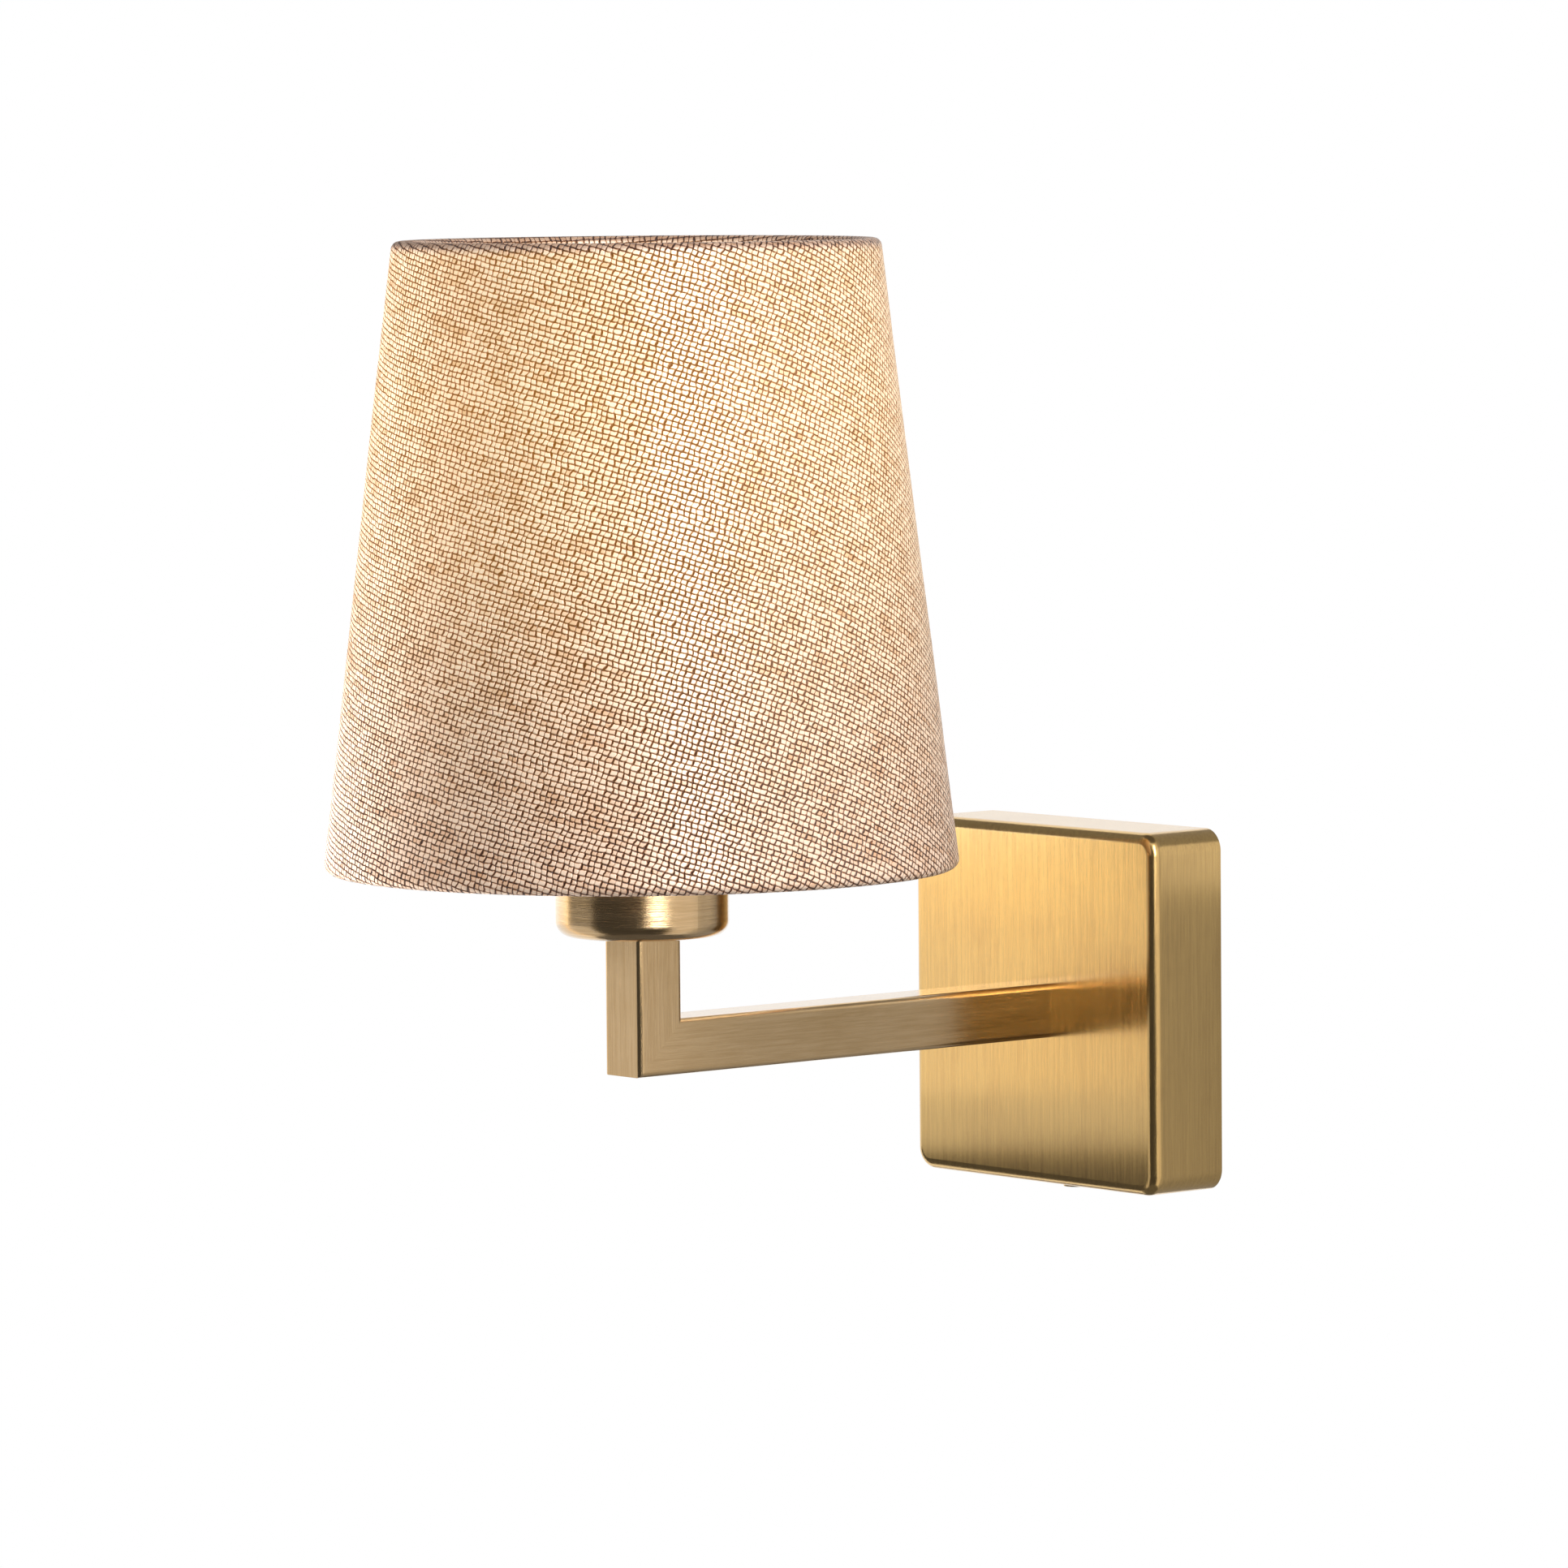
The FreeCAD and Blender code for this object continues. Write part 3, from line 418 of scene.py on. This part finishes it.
# %% [markdown]
# ## The grid of the weave
# The shade is coarse linen in plain weave, cut from the flat on the bias of its rim, so the threads slope
# down to the right in front. A bump on a plain grid would run straight round the cone. Here the mesh carries
# the flat cut as its UV map, in metres, so the threads stay straight in the cloth and every thread is the
# same width.
#
# In plain weave each thread goes over one and under the next, so the face is a grid of pale, domed cells.
# The cells pair up into bricks, each row half a brick along from the last. Two clouds bend the grid, because
# no thread lies straight.

# %% The grid of the weave
BRICK_LENGTH = 3.24 * MM     # two warps
ROW_PITCH = 1.42 * MM        # one weft
SWAY_SCALE = 55.0            # the slow bend, about 18 mm from crest to crest
WANDER_SCALE = 260.0         # the quick one, about 4 mm


def brick_grid(finish):
    """Bricks along and rows up the flat cut, and the place inside a brick, from -0.5 to 0.5 each way."""
    cut = finish.node("UVMap", {"uv_map": "cut"})
    place = finish.node("SeparateXYZ", {}, {"Vector": cut}, output="X")
    sway = finish.cloud(cut, SWAY_SCALE) - 0.5
    wander = finish.cloud(cut, WANDER_SCALE) - 0.5
    rows = place.other("Y") * (1 / ROW_PITCH) + sway * 0.8 + wander * 0.5
    row = rows.floor()
    bricks = place * (1 / BRICK_LENGTH) + (row * 0.5).part() + wander * 0.7 - sway * 0.5
    return SimpleNamespace(cut=cut, rows=rows, row=row, bricks=bricks,
                           across=bricks.part() - 0.5, height=rows.part() - 0.5)


print("a brick of the weave is", round(BRICK_LENGTH / MM, 2), "by", round(ROW_PITCH / MM, 2), "mm")

# %% [markdown]
# ## Uneven threads
# No two bricks are alike. Threads are thick here and thin there, and each has its own tone. A White Noise
# node gives every brick a number of its own, and a cloud that is stretched along a thread changes slowly
# along it but jumps from one thread to the next.

# %% Uneven threads
OTHER_SEED = (1.7, 2.3, 1.0)   # stretches the grid, so the second number differs from the first
MOTTLE_SCALE = 28.0


def throw_dice(finish, weave):
    """Adds numbers from 0 to 1: two for each brick, one for each weft and warp, and one for the cloth."""
    seed = finish.node("CombineXYZ", {}, {"X": weave.bricks.floor(), "Y": weave.row})
    flat_noise = {"noise_dimensions": "2D"}
    weave.chance = finish.node("TexWhiteNoise", flat_noise, {"Vector": seed})
    other_seed = finish.stretched(OTHER_SEED, seed)
    weave.other_chance = finish.node("TexWhiteNoise", flat_noise, {"Vector": other_seed})
    along_weft = {"X": weave.bricks * 0.16, "Y": weave.row * 5.3}
    along_warp = {"X": (weave.bricks * 2).floor() * 3.7, "Y": weave.rows * 0.12}
    weave.weft = finish.cloud(finish.node("CombineXYZ", {}, along_weft), 1.0)
    weave.warp = finish.cloud(finish.node("CombineXYZ", {}, along_warp), 1.0)
    weave.mottle = finish.cloud(weave.cut, MOTTLE_SCALE, detail=3.0, roughness=0.6)


def thread_tone(weave):
    """How much darker a place is, from its brick, its two threads and the slow mottle of the cloth."""
    threads = (0.5 - weave.weft) * 0.6 + (0.5 - weave.warp) * 0.45
    return (weave.chance - 0.5) * 0.2 + threads + (0.5 - weave.mottle) * 0.16


print("the mottle is about", round(1000 / MOTTLE_SCALE), "mm from patch to patch")

# %% [markdown]
# ## Grooves, dashes and hooks
# A cell is level over its crown and falls away to a groove on each side. Where threads dive, a shadow is
# painted
# into the colour: a dash along the top of each brick and a hook at its end. The grooves are painted darker
# too, as shade between threads. The groove inside a brick is shallower than the one between two, which is
# what makes the pair read as one brick.

# %% Grooves, dashes and hooks
CROWN_ALONG = 0.22           # half of a cell's level crown, as a share of the cell
CROWN_ACROSS = 0.18
DASH_MIDDLE = (-0.06, 0.46)  # a place inside the brick, across and up
HOOK_ACROSS = -0.47


def fall(offset, crown):
    """0 over the crown, and rising to 1 at the edge of the cell."""
    return ((abs(offset) - crown).larger(0.0) * (1 / (0.5 - crown))).square()


def groove_depth(weave):
    cell = (weave.bricks * 2).part() - 0.5
    paired = 0.45 + weave.other_chance * 0.5
    parting = paired + abs(weave.across).step(0.2, 0.3) * (1.05 - paired)
    side = fall(cell, CROWN_ALONG) * parting * 1.1
    return side + fall(weave.height, CROWN_ACROSS) * (0.38 + weave.weft * 0.8)


def painted_shadow_depth(weave):
    reach = 0.30 + weave.weft * 0.16
    dash_across = (abs(weave.across - DASH_MIDDLE[0]) - reach).step(0.09, -0.05)
    dash = dash_across * abs(weave.height - DASH_MIDDLE[1]).step(0.24, 0.04)
    hook_line = abs(weave.across - HOOK_ACROSS).step(0.12, 0.02)
    hook = hook_line * weave.height.step(-0.48, -0.15) * (0.5 + weave.other_chance * 0.8)
    return (dash * (0.2 + weave.chance * 0.8)).larger(hook * 0.8)


print("the level crown is", round(CROWN_ALONG * BRICK_LENGTH / MM, 2), "mm long")

# %% [markdown]
# ## Linen
# A ramp turns the depth of the weave into colour, from the pale crown of a thread to the brown between
# threads, which is painted shade, and to the painted shadows. The lamp inside seems to shine through the
# cloth, least near the lower rim, and redder through the gaps. This is a painted glow, emission in the cloth
# itself, so it needs no lamp inside. The upper rim has painted shade, darker where the cloth turns over its
# wire.

# %% Linen
# from the threads' own colour at the pale end to painted shade between threads at the dark end
LINEN_STOPS = [(0.0, (0.98, 0.735, 0.555)), (0.25, (0.77, 0.452, 0.262)), (0.50, (0.25, 0.075, 0.014)),
               (1.0, (0.03, 0.008, 0.002))]
# painted shade for the upper rim, where the cloth turns over its wire
RIM_SHADE = (0.50, 0.44, 0.40)
# the painted glow of the lamp in the linen, redder in the gaps
GLOW = (0.30, 0.24, 0.10)
GLOW_DEEP = (0.26, 0.10, 0.004)
GLOW_STEPS = [(0.0, 0.0), (0.05, 0.02), (0.25, 0.25), (0.5, 0.7), (0.75, 1.0), (0.98, 0.85), (0.992, 0.0)]
THREAD_DEPTH = 0.5 * MM
linen_low, linen_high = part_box("shade_fabric")


def linen(name, glow_steps):
    """Glow steps give how much painted lamplight glows in the cloth, from the lower rim to the upper."""
    material, finish = new_finish(name)
    weave = brick_grid(finish)
    throw_dice(finish, weave)
    groove = groove_depth(weave)
    gap = groove.step(0.1, 1.0)
    # painted shade: the grooves and the painted shadows darken the colour, over the threads' own tone
    depth = gap * 0.74 + painted_shadow_depth(weave) * 0.95 + thread_tone(weave) + 0.02
    colour = finish.node("ValToRGB", {"stops": LINEN_STOPS}, {"Fac": depth})
    raised = weave.across.step(-0.08, 0.08) - abs(weave.across).step(0.42, 0.5)
    relief = raised * 0.45 - groove.step(0.0, 1.1)

    level = finish.node("SeparateXYZ", {}, {"Vector": finish.node("TexCoord", output="Object")}, output="Z")
    share = (level - linen_low.z) * (1 / (linen_high.z - linen_low.z))
    glow_stops = [(at, (strength,) * 3) for at, strength in glow_steps]
    # the painted glow: how much lamplight the emission paints in at each height, redder in the gaps
    lamp = finish.node("ValToRGB", {"stops": glow_stops}, {"Fac": share})
    through = finish.mix(depth.step(0.2, 0.6), GLOW, GLOW_DEEP)
    # painted shade: the upper rim is darker, where the cloth turns over its wire
    darker_tone = finish.mix(share.step(0.986, 0.996), (1.0, 1.0, 1.0), RIM_SHADE)
    finish.surface(Base_Color=finish.mix(1.0, colour, darker_tone, "MULTIPLY"),
                   Roughness=0.37 + gap * 0.1, Specular_IOR_Level=0.7,
                   Sheen_Weight=0.06, Sheen_Roughness=0.4,
                   Emission_Color=finish.mix(1.0, through, lamp, "MULTIPLY"), Emission_Strength=1.0,
                   Normal=finish.bump(relief, 0.6, THREAD_DEPTH))
    return material


shade_linen = linen("shade_linen", GLOW_STEPS)
print("the linen's tree has", len(shade_linen.node_tree.nodes), "nodes")

# %% [markdown]
# ## A helper for new pieces
# Each new piece is made in the light's own frame, rides on the body that carries it, and hides any solid it
# stands for. Solidify gives cloth its thickness, half to each side of the surface.

# %% New pieces
def object_from(name, bm, material):
    mesh = bpy.data.meshes.new(name)
    bm.to_mesh(mesh)
    bm.free()
    mesh.materials.append(material)
    made = bpy.data.objects.new(name, mesh)
    scene.collection.objects.link(made)
    print(name, len(mesh.polygons), "faces")
    return made


def add_piece(name, bm, material, body, replaces=()):
    piece = object_from(name, bm, material)
    piece.data.shade_smooth()
    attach(piece, body)
    if replaces:
        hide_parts(*replaces)
    return piece


def thicken(piece, thickness):
    solidify = piece.modifiers.new("thickness", "SOLIDIFY")
    solidify.thickness = thickness
    solidify.offset = 0.0


print("new pieces stand at", [round(value, 3) for value in shade_axis], "and above")

# %% [markdown]
# ## The section of the cloth
# The cloth is one sheet: up the outside, over the wire at the top, and a short hem back down inside, and the
# same below. So its section is drawn once, as a line with a half circle round each wire. The wires are
# measured from their own boxes.

# %% The section of the cloth
LINEN_THICKNESS = 0.8 * MM
HEM_LENGTH = 7.0 * MM
LINER_DEPTH = 1.4 * MM       # from the linen's face to the back of the liner
ROLL_STEPS = 9
FACE_STEPS = 84


def ring_sizes(node):
    """A wire ring's radius, height and wire radius, from its box."""
    low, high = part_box(node)
    wire = (high.z - low.z) / 2
    return (high.x - low.x) / 2 - wire, (high.z + low.z) / 2, wire


low_radius, low_level, wire_radius = ring_sizes("bottom_wire_ring")
top_radius, top_level, wire_radius = ring_sizes("top_wire_ring")
low_wire = Vector((low_radius, low_level))
top_wire = Vector((top_radius, top_level))
climb = (top_wire - low_wire).normalized()
outward = Vector((climb.y, -climb.x))
roll = low_level - linen_low.z
middle_roll = roll - LINEN_THICKNESS / 2


def turn_round(centre, sense):
    """Half a circle from the cloth's face over a wire to its inside."""
    points = []
    for step in range(ROLL_STEPS + 1):
        angle = math.pi * step / ROLL_STEPS
        radial = outward * math.cos(angle) + climb * (sense * math.sin(angle))
        points.append(centre + radial * middle_roll)
    return points


def section_points():
    """The middle of the cloth as (radius, height): hem and lower roll, then upper roll and hem."""
    hem_in = outward * (roll - LINER_DEPTH - LINEN_THICKNESS / 2)
    low_hem = low_wire + climb * HEM_LENGTH + hem_in
    top_hem = top_wire - climb * HEM_LENGTH + hem_in
    return [low_hem] + turn_round(low_wire, -1)[::-1], turn_round(top_wire, 1) + [top_hem]


def face_between(first, last, steps):
    return [first.lerp(last, step / steps) for step in range(1, steps)]


lower, upper = section_points()
section = lower + face_between(lower[-1], upper[0], FACE_STEPS) + upper
face_start = sum((b - a).length for a, b in zip(lower, lower[1:]))
print("the shade's side is", round((upper[0] - lower[-1]).length / MM, 1), "mm long, on wires of",
      round(2 * wire_radius / MM, 1), "mm")

# %% [markdown]
# ## Spin a section
# A shade is a solid of revolution, so the spin operator turns the section round the shade's axis. Each point
# also remembers how far along the cloth it is, for the flat cut.

# %% Spin a section
def spin_section(bm, points, start, sweep, steps, closed):
    """Spins a line of (radius, height) points round the shade's axis."""
    radial = Vector((math.cos(start), math.sin(start), 0))
    run = bm.verts.layers.float.new("run")
    verts = []
    length = 0.0
    for index, point in enumerate(points):
        if index:
            length += (point - points[index - 1]).length
        vert = bm.verts.new(shade_axis + radial * point.x + UP * point.y)
        vert[run] = length
        verts.append(vert)
    edges = [bm.edges.new(pair) for pair in zip(verts, verts[1:])]
    bmesh.ops.spin(bm, geom=verts + edges, cent=shade_axis, axis=UP, angle=sweep, steps=steps,
                   use_merge=closed, use_duplicate=False)


print("the section has", len(section), "points")

# %% [markdown]
# ## Lay the cloth flat
# A cone slit along one line opens to a ring sector about its tip. A point's distance from the tip is its
# distance along the cone's side, and an angle round the axis shrinks by the sine of the cone's half angle.
# The slit is the lap seam, so the only break in the weave is there. The whole sector is then turned, because
# the cloth was cut on the bias.

# %% Lay the cloth flat
FULL_TURN = 2 * math.pi
GRAIN_SLOPE = math.radians(17.5)
SEAM_ANGLE = math.pi / 2     # towards the wall
front_angle = view_azimuth - math.pi / 2   # the side in the photograph, where the weave was matched
lean = -climb.x              # the sine of the cone's half angle
tip_distance = (low_wire + outward * middle_roll).x / lean


def lay_flat(bm, face_start, cut_angle):
    """Writes the flat cut to the UV map, for faces that start at cut_angle and go on round the axis."""
    run = bm.verts.layers.float["run"]
    cut = bm.loops.layers.uv.new("cut")
    cut_to_front = (front_angle - cut_angle) % FULL_TURN
    for face in bm.faces:
        middle = face.calc_center_median() - shade_axis
        facing = math.atan2(middle.y, middle.x)
        from_cut = (facing - cut_angle) % FULL_TURN
        for loop in face.loops:
            place = loop.vert.co - shade_axis
            beyond = math.remainder(math.atan2(place.y, place.x) - facing, FULL_TURN)
            swing = (from_cut + beyond - cut_to_front) * lean
            distance = tip_distance - (loop.vert[run] - face_start)
            flat = Vector((math.sin(swing), -math.cos(swing))) * distance
            loop[cut].uv = Matrix.Rotation(GRAIN_SLOPE, 2) @ flat


print("the flat cut is a sector of", round(math.degrees(FULL_TURN * lean)), "degrees,",
      round(tip_distance, 2), "m from its tip")

# %% [markdown]
# ## The linen cone
# Cloth on a frame is never quite round, so after the spin a slow noise moves each point a little in or out.
# It comes after the flat cut is written, so it doesn't stretch the weave.

# %% Linen cone
ROUND_STEPS = 256
UNEVEN_BY = 0.22 * MM
UNEVEN_SCALE = 22.0          # a bulge every 45 mm or so


def uneven(bm):
    for vert in bm.verts:
        place = vert.co - shade_axis
        outwards = Vector((place.x, place.y, 0)).normalized()
        vert.co += outwards * (noise.noise(vert.co * UNEVEN_SCALE) * UNEVEN_BY)


bm = bmesh.new()
spin_section(bm, section, SEAM_ANGLE, FULL_TURN, ROUND_STEPS, True)
bmesh.ops.remove_doubles(bm, verts=bm.verts, dist=0.01 * MM)
bmesh.ops.recalc_face_normals(bm, faces=bm.faces)
lay_flat(bm, face_start, SEAM_ANGLE)
uneven(bm)
linen_cone = add_piece("linen_cone", bm, shade_linen, "shade", ["shade_fabric"])
thicken(linen_cone, LINEN_THICKNESS)

# %% [markdown]
# ## The lap seam
# The cloth meets itself in a straight lap towards the wall: one edge is turned under and glued over the
# other. The lap is a narrow strip of the same linen. A strip spun through a small angle would widen towards
# the bottom, so each of its points is moved round until the strip is as wide at the top as at the bottom.

# %% Lap seam
LAP_WIDTH = 11.0 * MM
LAP_RISE = 0.55 * MM         # the lap's middle stands this far off the middle of the cloth
LAP_THICKNESS = 0.45 * MM
LAP_STEPS = 4

lap_low = low_wire + outward * (middle_roll + LAP_RISE)
lap_top = top_wire + outward * (middle_roll + LAP_RISE)
lap_line = [lap_low] + face_between(lap_low, lap_top, FACE_STEPS) + [lap_top]
lap_angle = LAP_WIDTH / lap_low.x
bm = bmesh.new()
spin_section(bm, lap_line, SEAM_ANGLE - lap_angle / 2, lap_angle, LAP_STEPS, False)
for vert in bm.verts:
    place = vert.co - shade_axis
    swing = math.atan2(place.y, place.x) - SEAM_ANGLE
    wider = swing * lap_low.x / math.hypot(place.x, place.y) - swing
    bmesh.ops.rotate(bm, verts=[vert], cent=shade_axis, matrix=Matrix.Rotation(wider, 3, "Z"))
bmesh.ops.recalc_face_normals(bm, faces=bm.faces)
lay_flat(bm, 0.0, SEAM_ANGLE - lap_angle)
uneven(bm)
lap_seam = add_piece("lap_seam", bm, shade_linen, "shade")
thicken(lap_seam, LAP_THICKNESS)

# %% [markdown]
# ## The lamps
# The photograph was taken in a white room with a few lamps. The strongest is tall and stands high to the
# right of the camera, and it lights most of the linen. One at the left, close and low, lights the left side
# of the shade. The other two only fill. No lamp shows in a reflection: the cards below do that, so that each
# bright and dark band on the brass can be placed by itself.

# %% Lamps
def round_camera(turn, distance, height):
    """A point round the light, so many degrees to the right of the camera."""
    angle = view_azimuth + math.radians(turn)
    return shade_axis + Vector((math.sin(angle), -math.cos(angle), 0)) * distance + UP * height


def soft_lamp(name, turn, distance, height, width, tall, radiance):
    lamp = bpy.data.objects.new(name, bpy.data.lights.new(name, "AREA"))
    lamp.data.shape = "RECTANGLE"
    lamp.data.size = width
    lamp.data.size_y = tall
    lamp.data.energy = radiance * width * tall * math.pi
    lamp.location = round_camera(turn, distance, height)
    lamp.rotation_euler = (lamp.location - aim).to_track_quat("Z", "Y").to_euler()
    lamp.visible_camera = False
    lamp.visible_glossy = False
    scene.collection.objects.link(lamp)
    print(name, round(lamp.data.energy, 2), "W")


soft_lamp("key_lamp", turn=34, distance=1.15, height=0.85, width=0.5, tall=1.25, radiance=11.4)
soft_lamp("left_lamp", turn=-118, distance=0.7, height=-0.15, width=0.4, tall=0.6, radiance=19.5)
soft_lamp("right_fill", turn=75, distance=1.4, height=0.6, width=0.9, tall=1.2, radiance=0.2)
soft_lamp("top_lamp", turn=-60, distance=1.0, height=1.3, width=0.8, tall=0.8, radiance=0.8)

# %% [markdown]
# ## Cards
# Brass shows its surroundings, and in a bare room it would look flat. A photographer stands white and black
# cards round such a thing. Here each card is a bent sheet round the light, or a small flat one, with a tone
# of its own. Only reflections see it, sharp ones on brass and soft ones on cloth, and it casts no shadow.

# %% Cards
NEAR = 0.3                   # how far from the shade's axis most cards stand
CARD_STEPS = 12


def plain_finish(name, tone):
    """A flat tone for a card: one number for grey, or a colour."""
    material, finish = new_finish(name)
    colour = tone if isinstance(tone, tuple) else (tone, tone, tone)
    glow = finish.node("Emission", {}, {"Color": colour, "Strength": 1.0})
    finish.node("OutputMaterial", {}, {"Surface": glow})
    return material


def only_reflected(name, bm, tone):
    piece = object_from(name, bm, plain_finish(name, tone))
    piece.visible_camera = False
    piece.visible_diffuse = False
    piece.visible_shadow = False
    piece.visible_transmission = False


def card(name, turns, heights, tone, distance=NEAR):
    """A bent card between two turns from the camera, in degrees, and two heights."""
    bm = bmesh.new()
    verts = [bm.verts.new(round_camera(turns[0], distance, height)) for height in heights]
    edge = bm.edges.new(verts)
    bmesh.ops.spin(bm, geom=verts + [edge], cent=shade_axis, axis=UP, steps=CARD_STEPS,
                   angle=math.radians(turns[1] - turns[0]))
    only_reflected(name, bm, tone)


def flag(name, spot, turn, distance, half_width, heights, tone):
    """A small upright card, square to the line from one spot of the light towards it."""
    angle = view_azimuth + math.radians(turn)
    facing = Vector((math.sin(angle), -math.cos(angle), 0))
    side = Vector((facing.y, -facing.x, 0)) * half_width
    bm = bmesh.new()
    verts = [bm.verts.new(spot + facing * distance + side + UP * height) for height in heights]
    edge = bm.edges.new(verts)
    bmesh.ops.extrude_edge_only(bm, edges=[edge])
    far = [vert for vert in bm.verts if vert not in verts]
    bmesh.ops.translate(bm, verts=far, vec=side * -2)
    only_reflected(name, bm, tone)


def level_card(name, height, size, tone):
    """A flat card above or below the light."""
    bm = bmesh.new()
    bmesh.ops.create_circle(bm, cap_ends=True, segments=48, radius=size,
                            matrix=Matrix.Translation(shade_axis + UP * height))
    only_reflected(name, bm, tone)


print("most cards stand", NEAR, "m from the axis")

# %% [markdown]
# ## What the plate reflects
# The plate's front reflects what is far to the left of the camera. The panels there give it its even face,
# its warm side and its pale band. Two small flags shade its foot, one dark and one grey, and a third stands
# where the plate's side looks.

# %% What the plate reflects
BEHIND_LEFT = (-180, -121)
BESIDE_LEFT = (-121, -112)
LOW_BAND = (-0.4, -0.01)
PALE_BAND = (-0.01, 0.019)
FOOT_EDGE = -0.0565
plate_low, plate_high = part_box("wall_plate")
plate_front = Vector((0, plate_low.y, 0))
plate_side = Vector((plate_high.x, plate_low.y / 2, 0))

card("left_panel", BEHIND_LEFT, LOW_BAND, 0.96)
card("left_panel_upper", BEHIND_LEFT, PALE_BAND, (1.15, 1.06, 0.94))
card("warm_panel", BESIDE_LEFT, LOW_BAND, (1.20, 1.02, 0.78))
card("warm_panel_upper", BESIDE_LEFT, PALE_BAND, (1.75, 1.46, 0.94))
card("white_card", (-180, -112), (0.019, 0.075), (1.9, 1.9, 2.0))
card("left_dark_card", (-180, -112), (0.075, 0.5), 0.2)
flag("plate_foot", plate_front, turn=-100, distance=0.13, half_width=0.075,
     heights=(-0.2, FOOT_EDGE), tone=0.08)
flag("plate_shin", plate_front, turn=-100, distance=0.132, half_width=0.075,
     heights=(FOOT_EDGE, -0.040), tone=0.72)
flag("plate_top", plate_side, turn=80, distance=0.12, half_width=0.05, heights=(0.024, 0.12), tone=0.72)

# %% [markdown]
# ## What the arm, the cup and the linen reflect
# The cup is round, so it shows all the cards at once. Black ones beside the camera are its brown bands, and
# the key strip, farther off, is its gold band. The sheen strip above that is far brighter, and the linen's
# soft gloss shows it as the pale column down the shade. The arm's long side sends back the greys to the
# right, and the front of the upright sends back the panel to the left.

# %% What the arm, the cup and the linen reflect
LEFT_OF_CAMERA = (-112, -68)
TALL = (-0.4, 0.4)
FAR = 0.9
card("cup_flag", LEFT_OF_CAMERA, (0.006, 0.4), 0.10)
card("upright_panel", LEFT_OF_CAMERA, (-0.4, 0.006), 0.66)
card("black_card", (-68, 3), TALL, 0.06)
card("key_strip", (6, 37), (-0.15, 0.06), 1.7, FAR)
card("sheen_strip", (13, 28), (0.06, 1.0), 17.0, FAR)
card("far_black_card", (-12, 6), TALL, 0.04, FAR - 0.02)
card("low_black_card", (3, 39), (-0.4, 0.0), 0.05)
card("right_panel", (39, 78), TALL, (0.74, 0.72, 0.70))
card("right_back_panel", (78, 100), TALL, 0.39)
card("far_right_card", (100, 142), TALL, 0.28)
level_card("ceiling_card", height=1.6, size=1.1, tone=0.10)
level_card("under_card", height=-0.75, size=1.1, tone=0.12)

# %% [markdown]
# ## Floor and room
# The background is white because the camera's own rays find a white floor and a white room. Rays that metal
# and glass send on find the same. All other rays find a paper floor and a dim room, so the background doesn't
# flood the light, and the floor keeps its shadow. The floor is far below, as under a light on a wall.

# %% Floor and room
FLOOR_LEVEL = -1.7
FLOOR_RADIUS = 8.0
FLOOR_SEEN = 0.98
PAPER = (0.85, 0.85, 0.85)
WHITE = (1.0, 1.0, 1.0)
ROOM_LIGHT = 0.3


def seen_rays(finish):
    """1 for rays from the camera, from gloss and through glass, and 0 for rays that gather light."""
    rays = finish.node("LightPath", output="Is Camera Ray")
    return rays.larger(rays.other("Is Glossy Ray")).larger(rays.other("Is Transmission Ray"))


bm = bmesh.new()
bmesh.ops.create_circle(bm, cap_ends=True, segments=64, radius=FLOOR_RADIUS,
                        matrix=Matrix.Translation(shade_axis + UP * FLOOR_LEVEL))
material, finish = new_finish("pale_floor")
white = finish.node("Emission", {}, {"Color": WHITE, "Strength": 1.0})
paper = finish.node("BsdfDiffuse", {}, {"Color": PAPER})
floor_share = seen_rays(finish) * FLOOR_SEEN
floor_mix = finish.node("MixShader", {}, {0: floor_share, 1: paper, 2: white})
finish.node("OutputMaterial", {}, {"Surface": floor_mix})
object_from("floor", bm, material)

scene.world = bpy.data.worlds.new("white_room")
scene.world.use_nodes = True
finish = Finish(scene.world.node_tree)
strength = seen_rays(finish) * (1 - ROOM_LIGHT) + ROOM_LIGHT
room = finish.node("Background", {}, {"Color": WHITE, "Strength": strength})
finish.node("OutputWorld", {}, {"Surface": room})
scene.view_settings.view_transform = "Standard"
print("view transform", scene.view_settings.view_transform)

# %% [markdown]
# ## The cut cloth
# The linen is one sheet, cut flat and stretched on the frame, with the lap strip that belongs to it.

# %% The cut cloth
print("the cloth rests on both wires")

# %% [markdown]
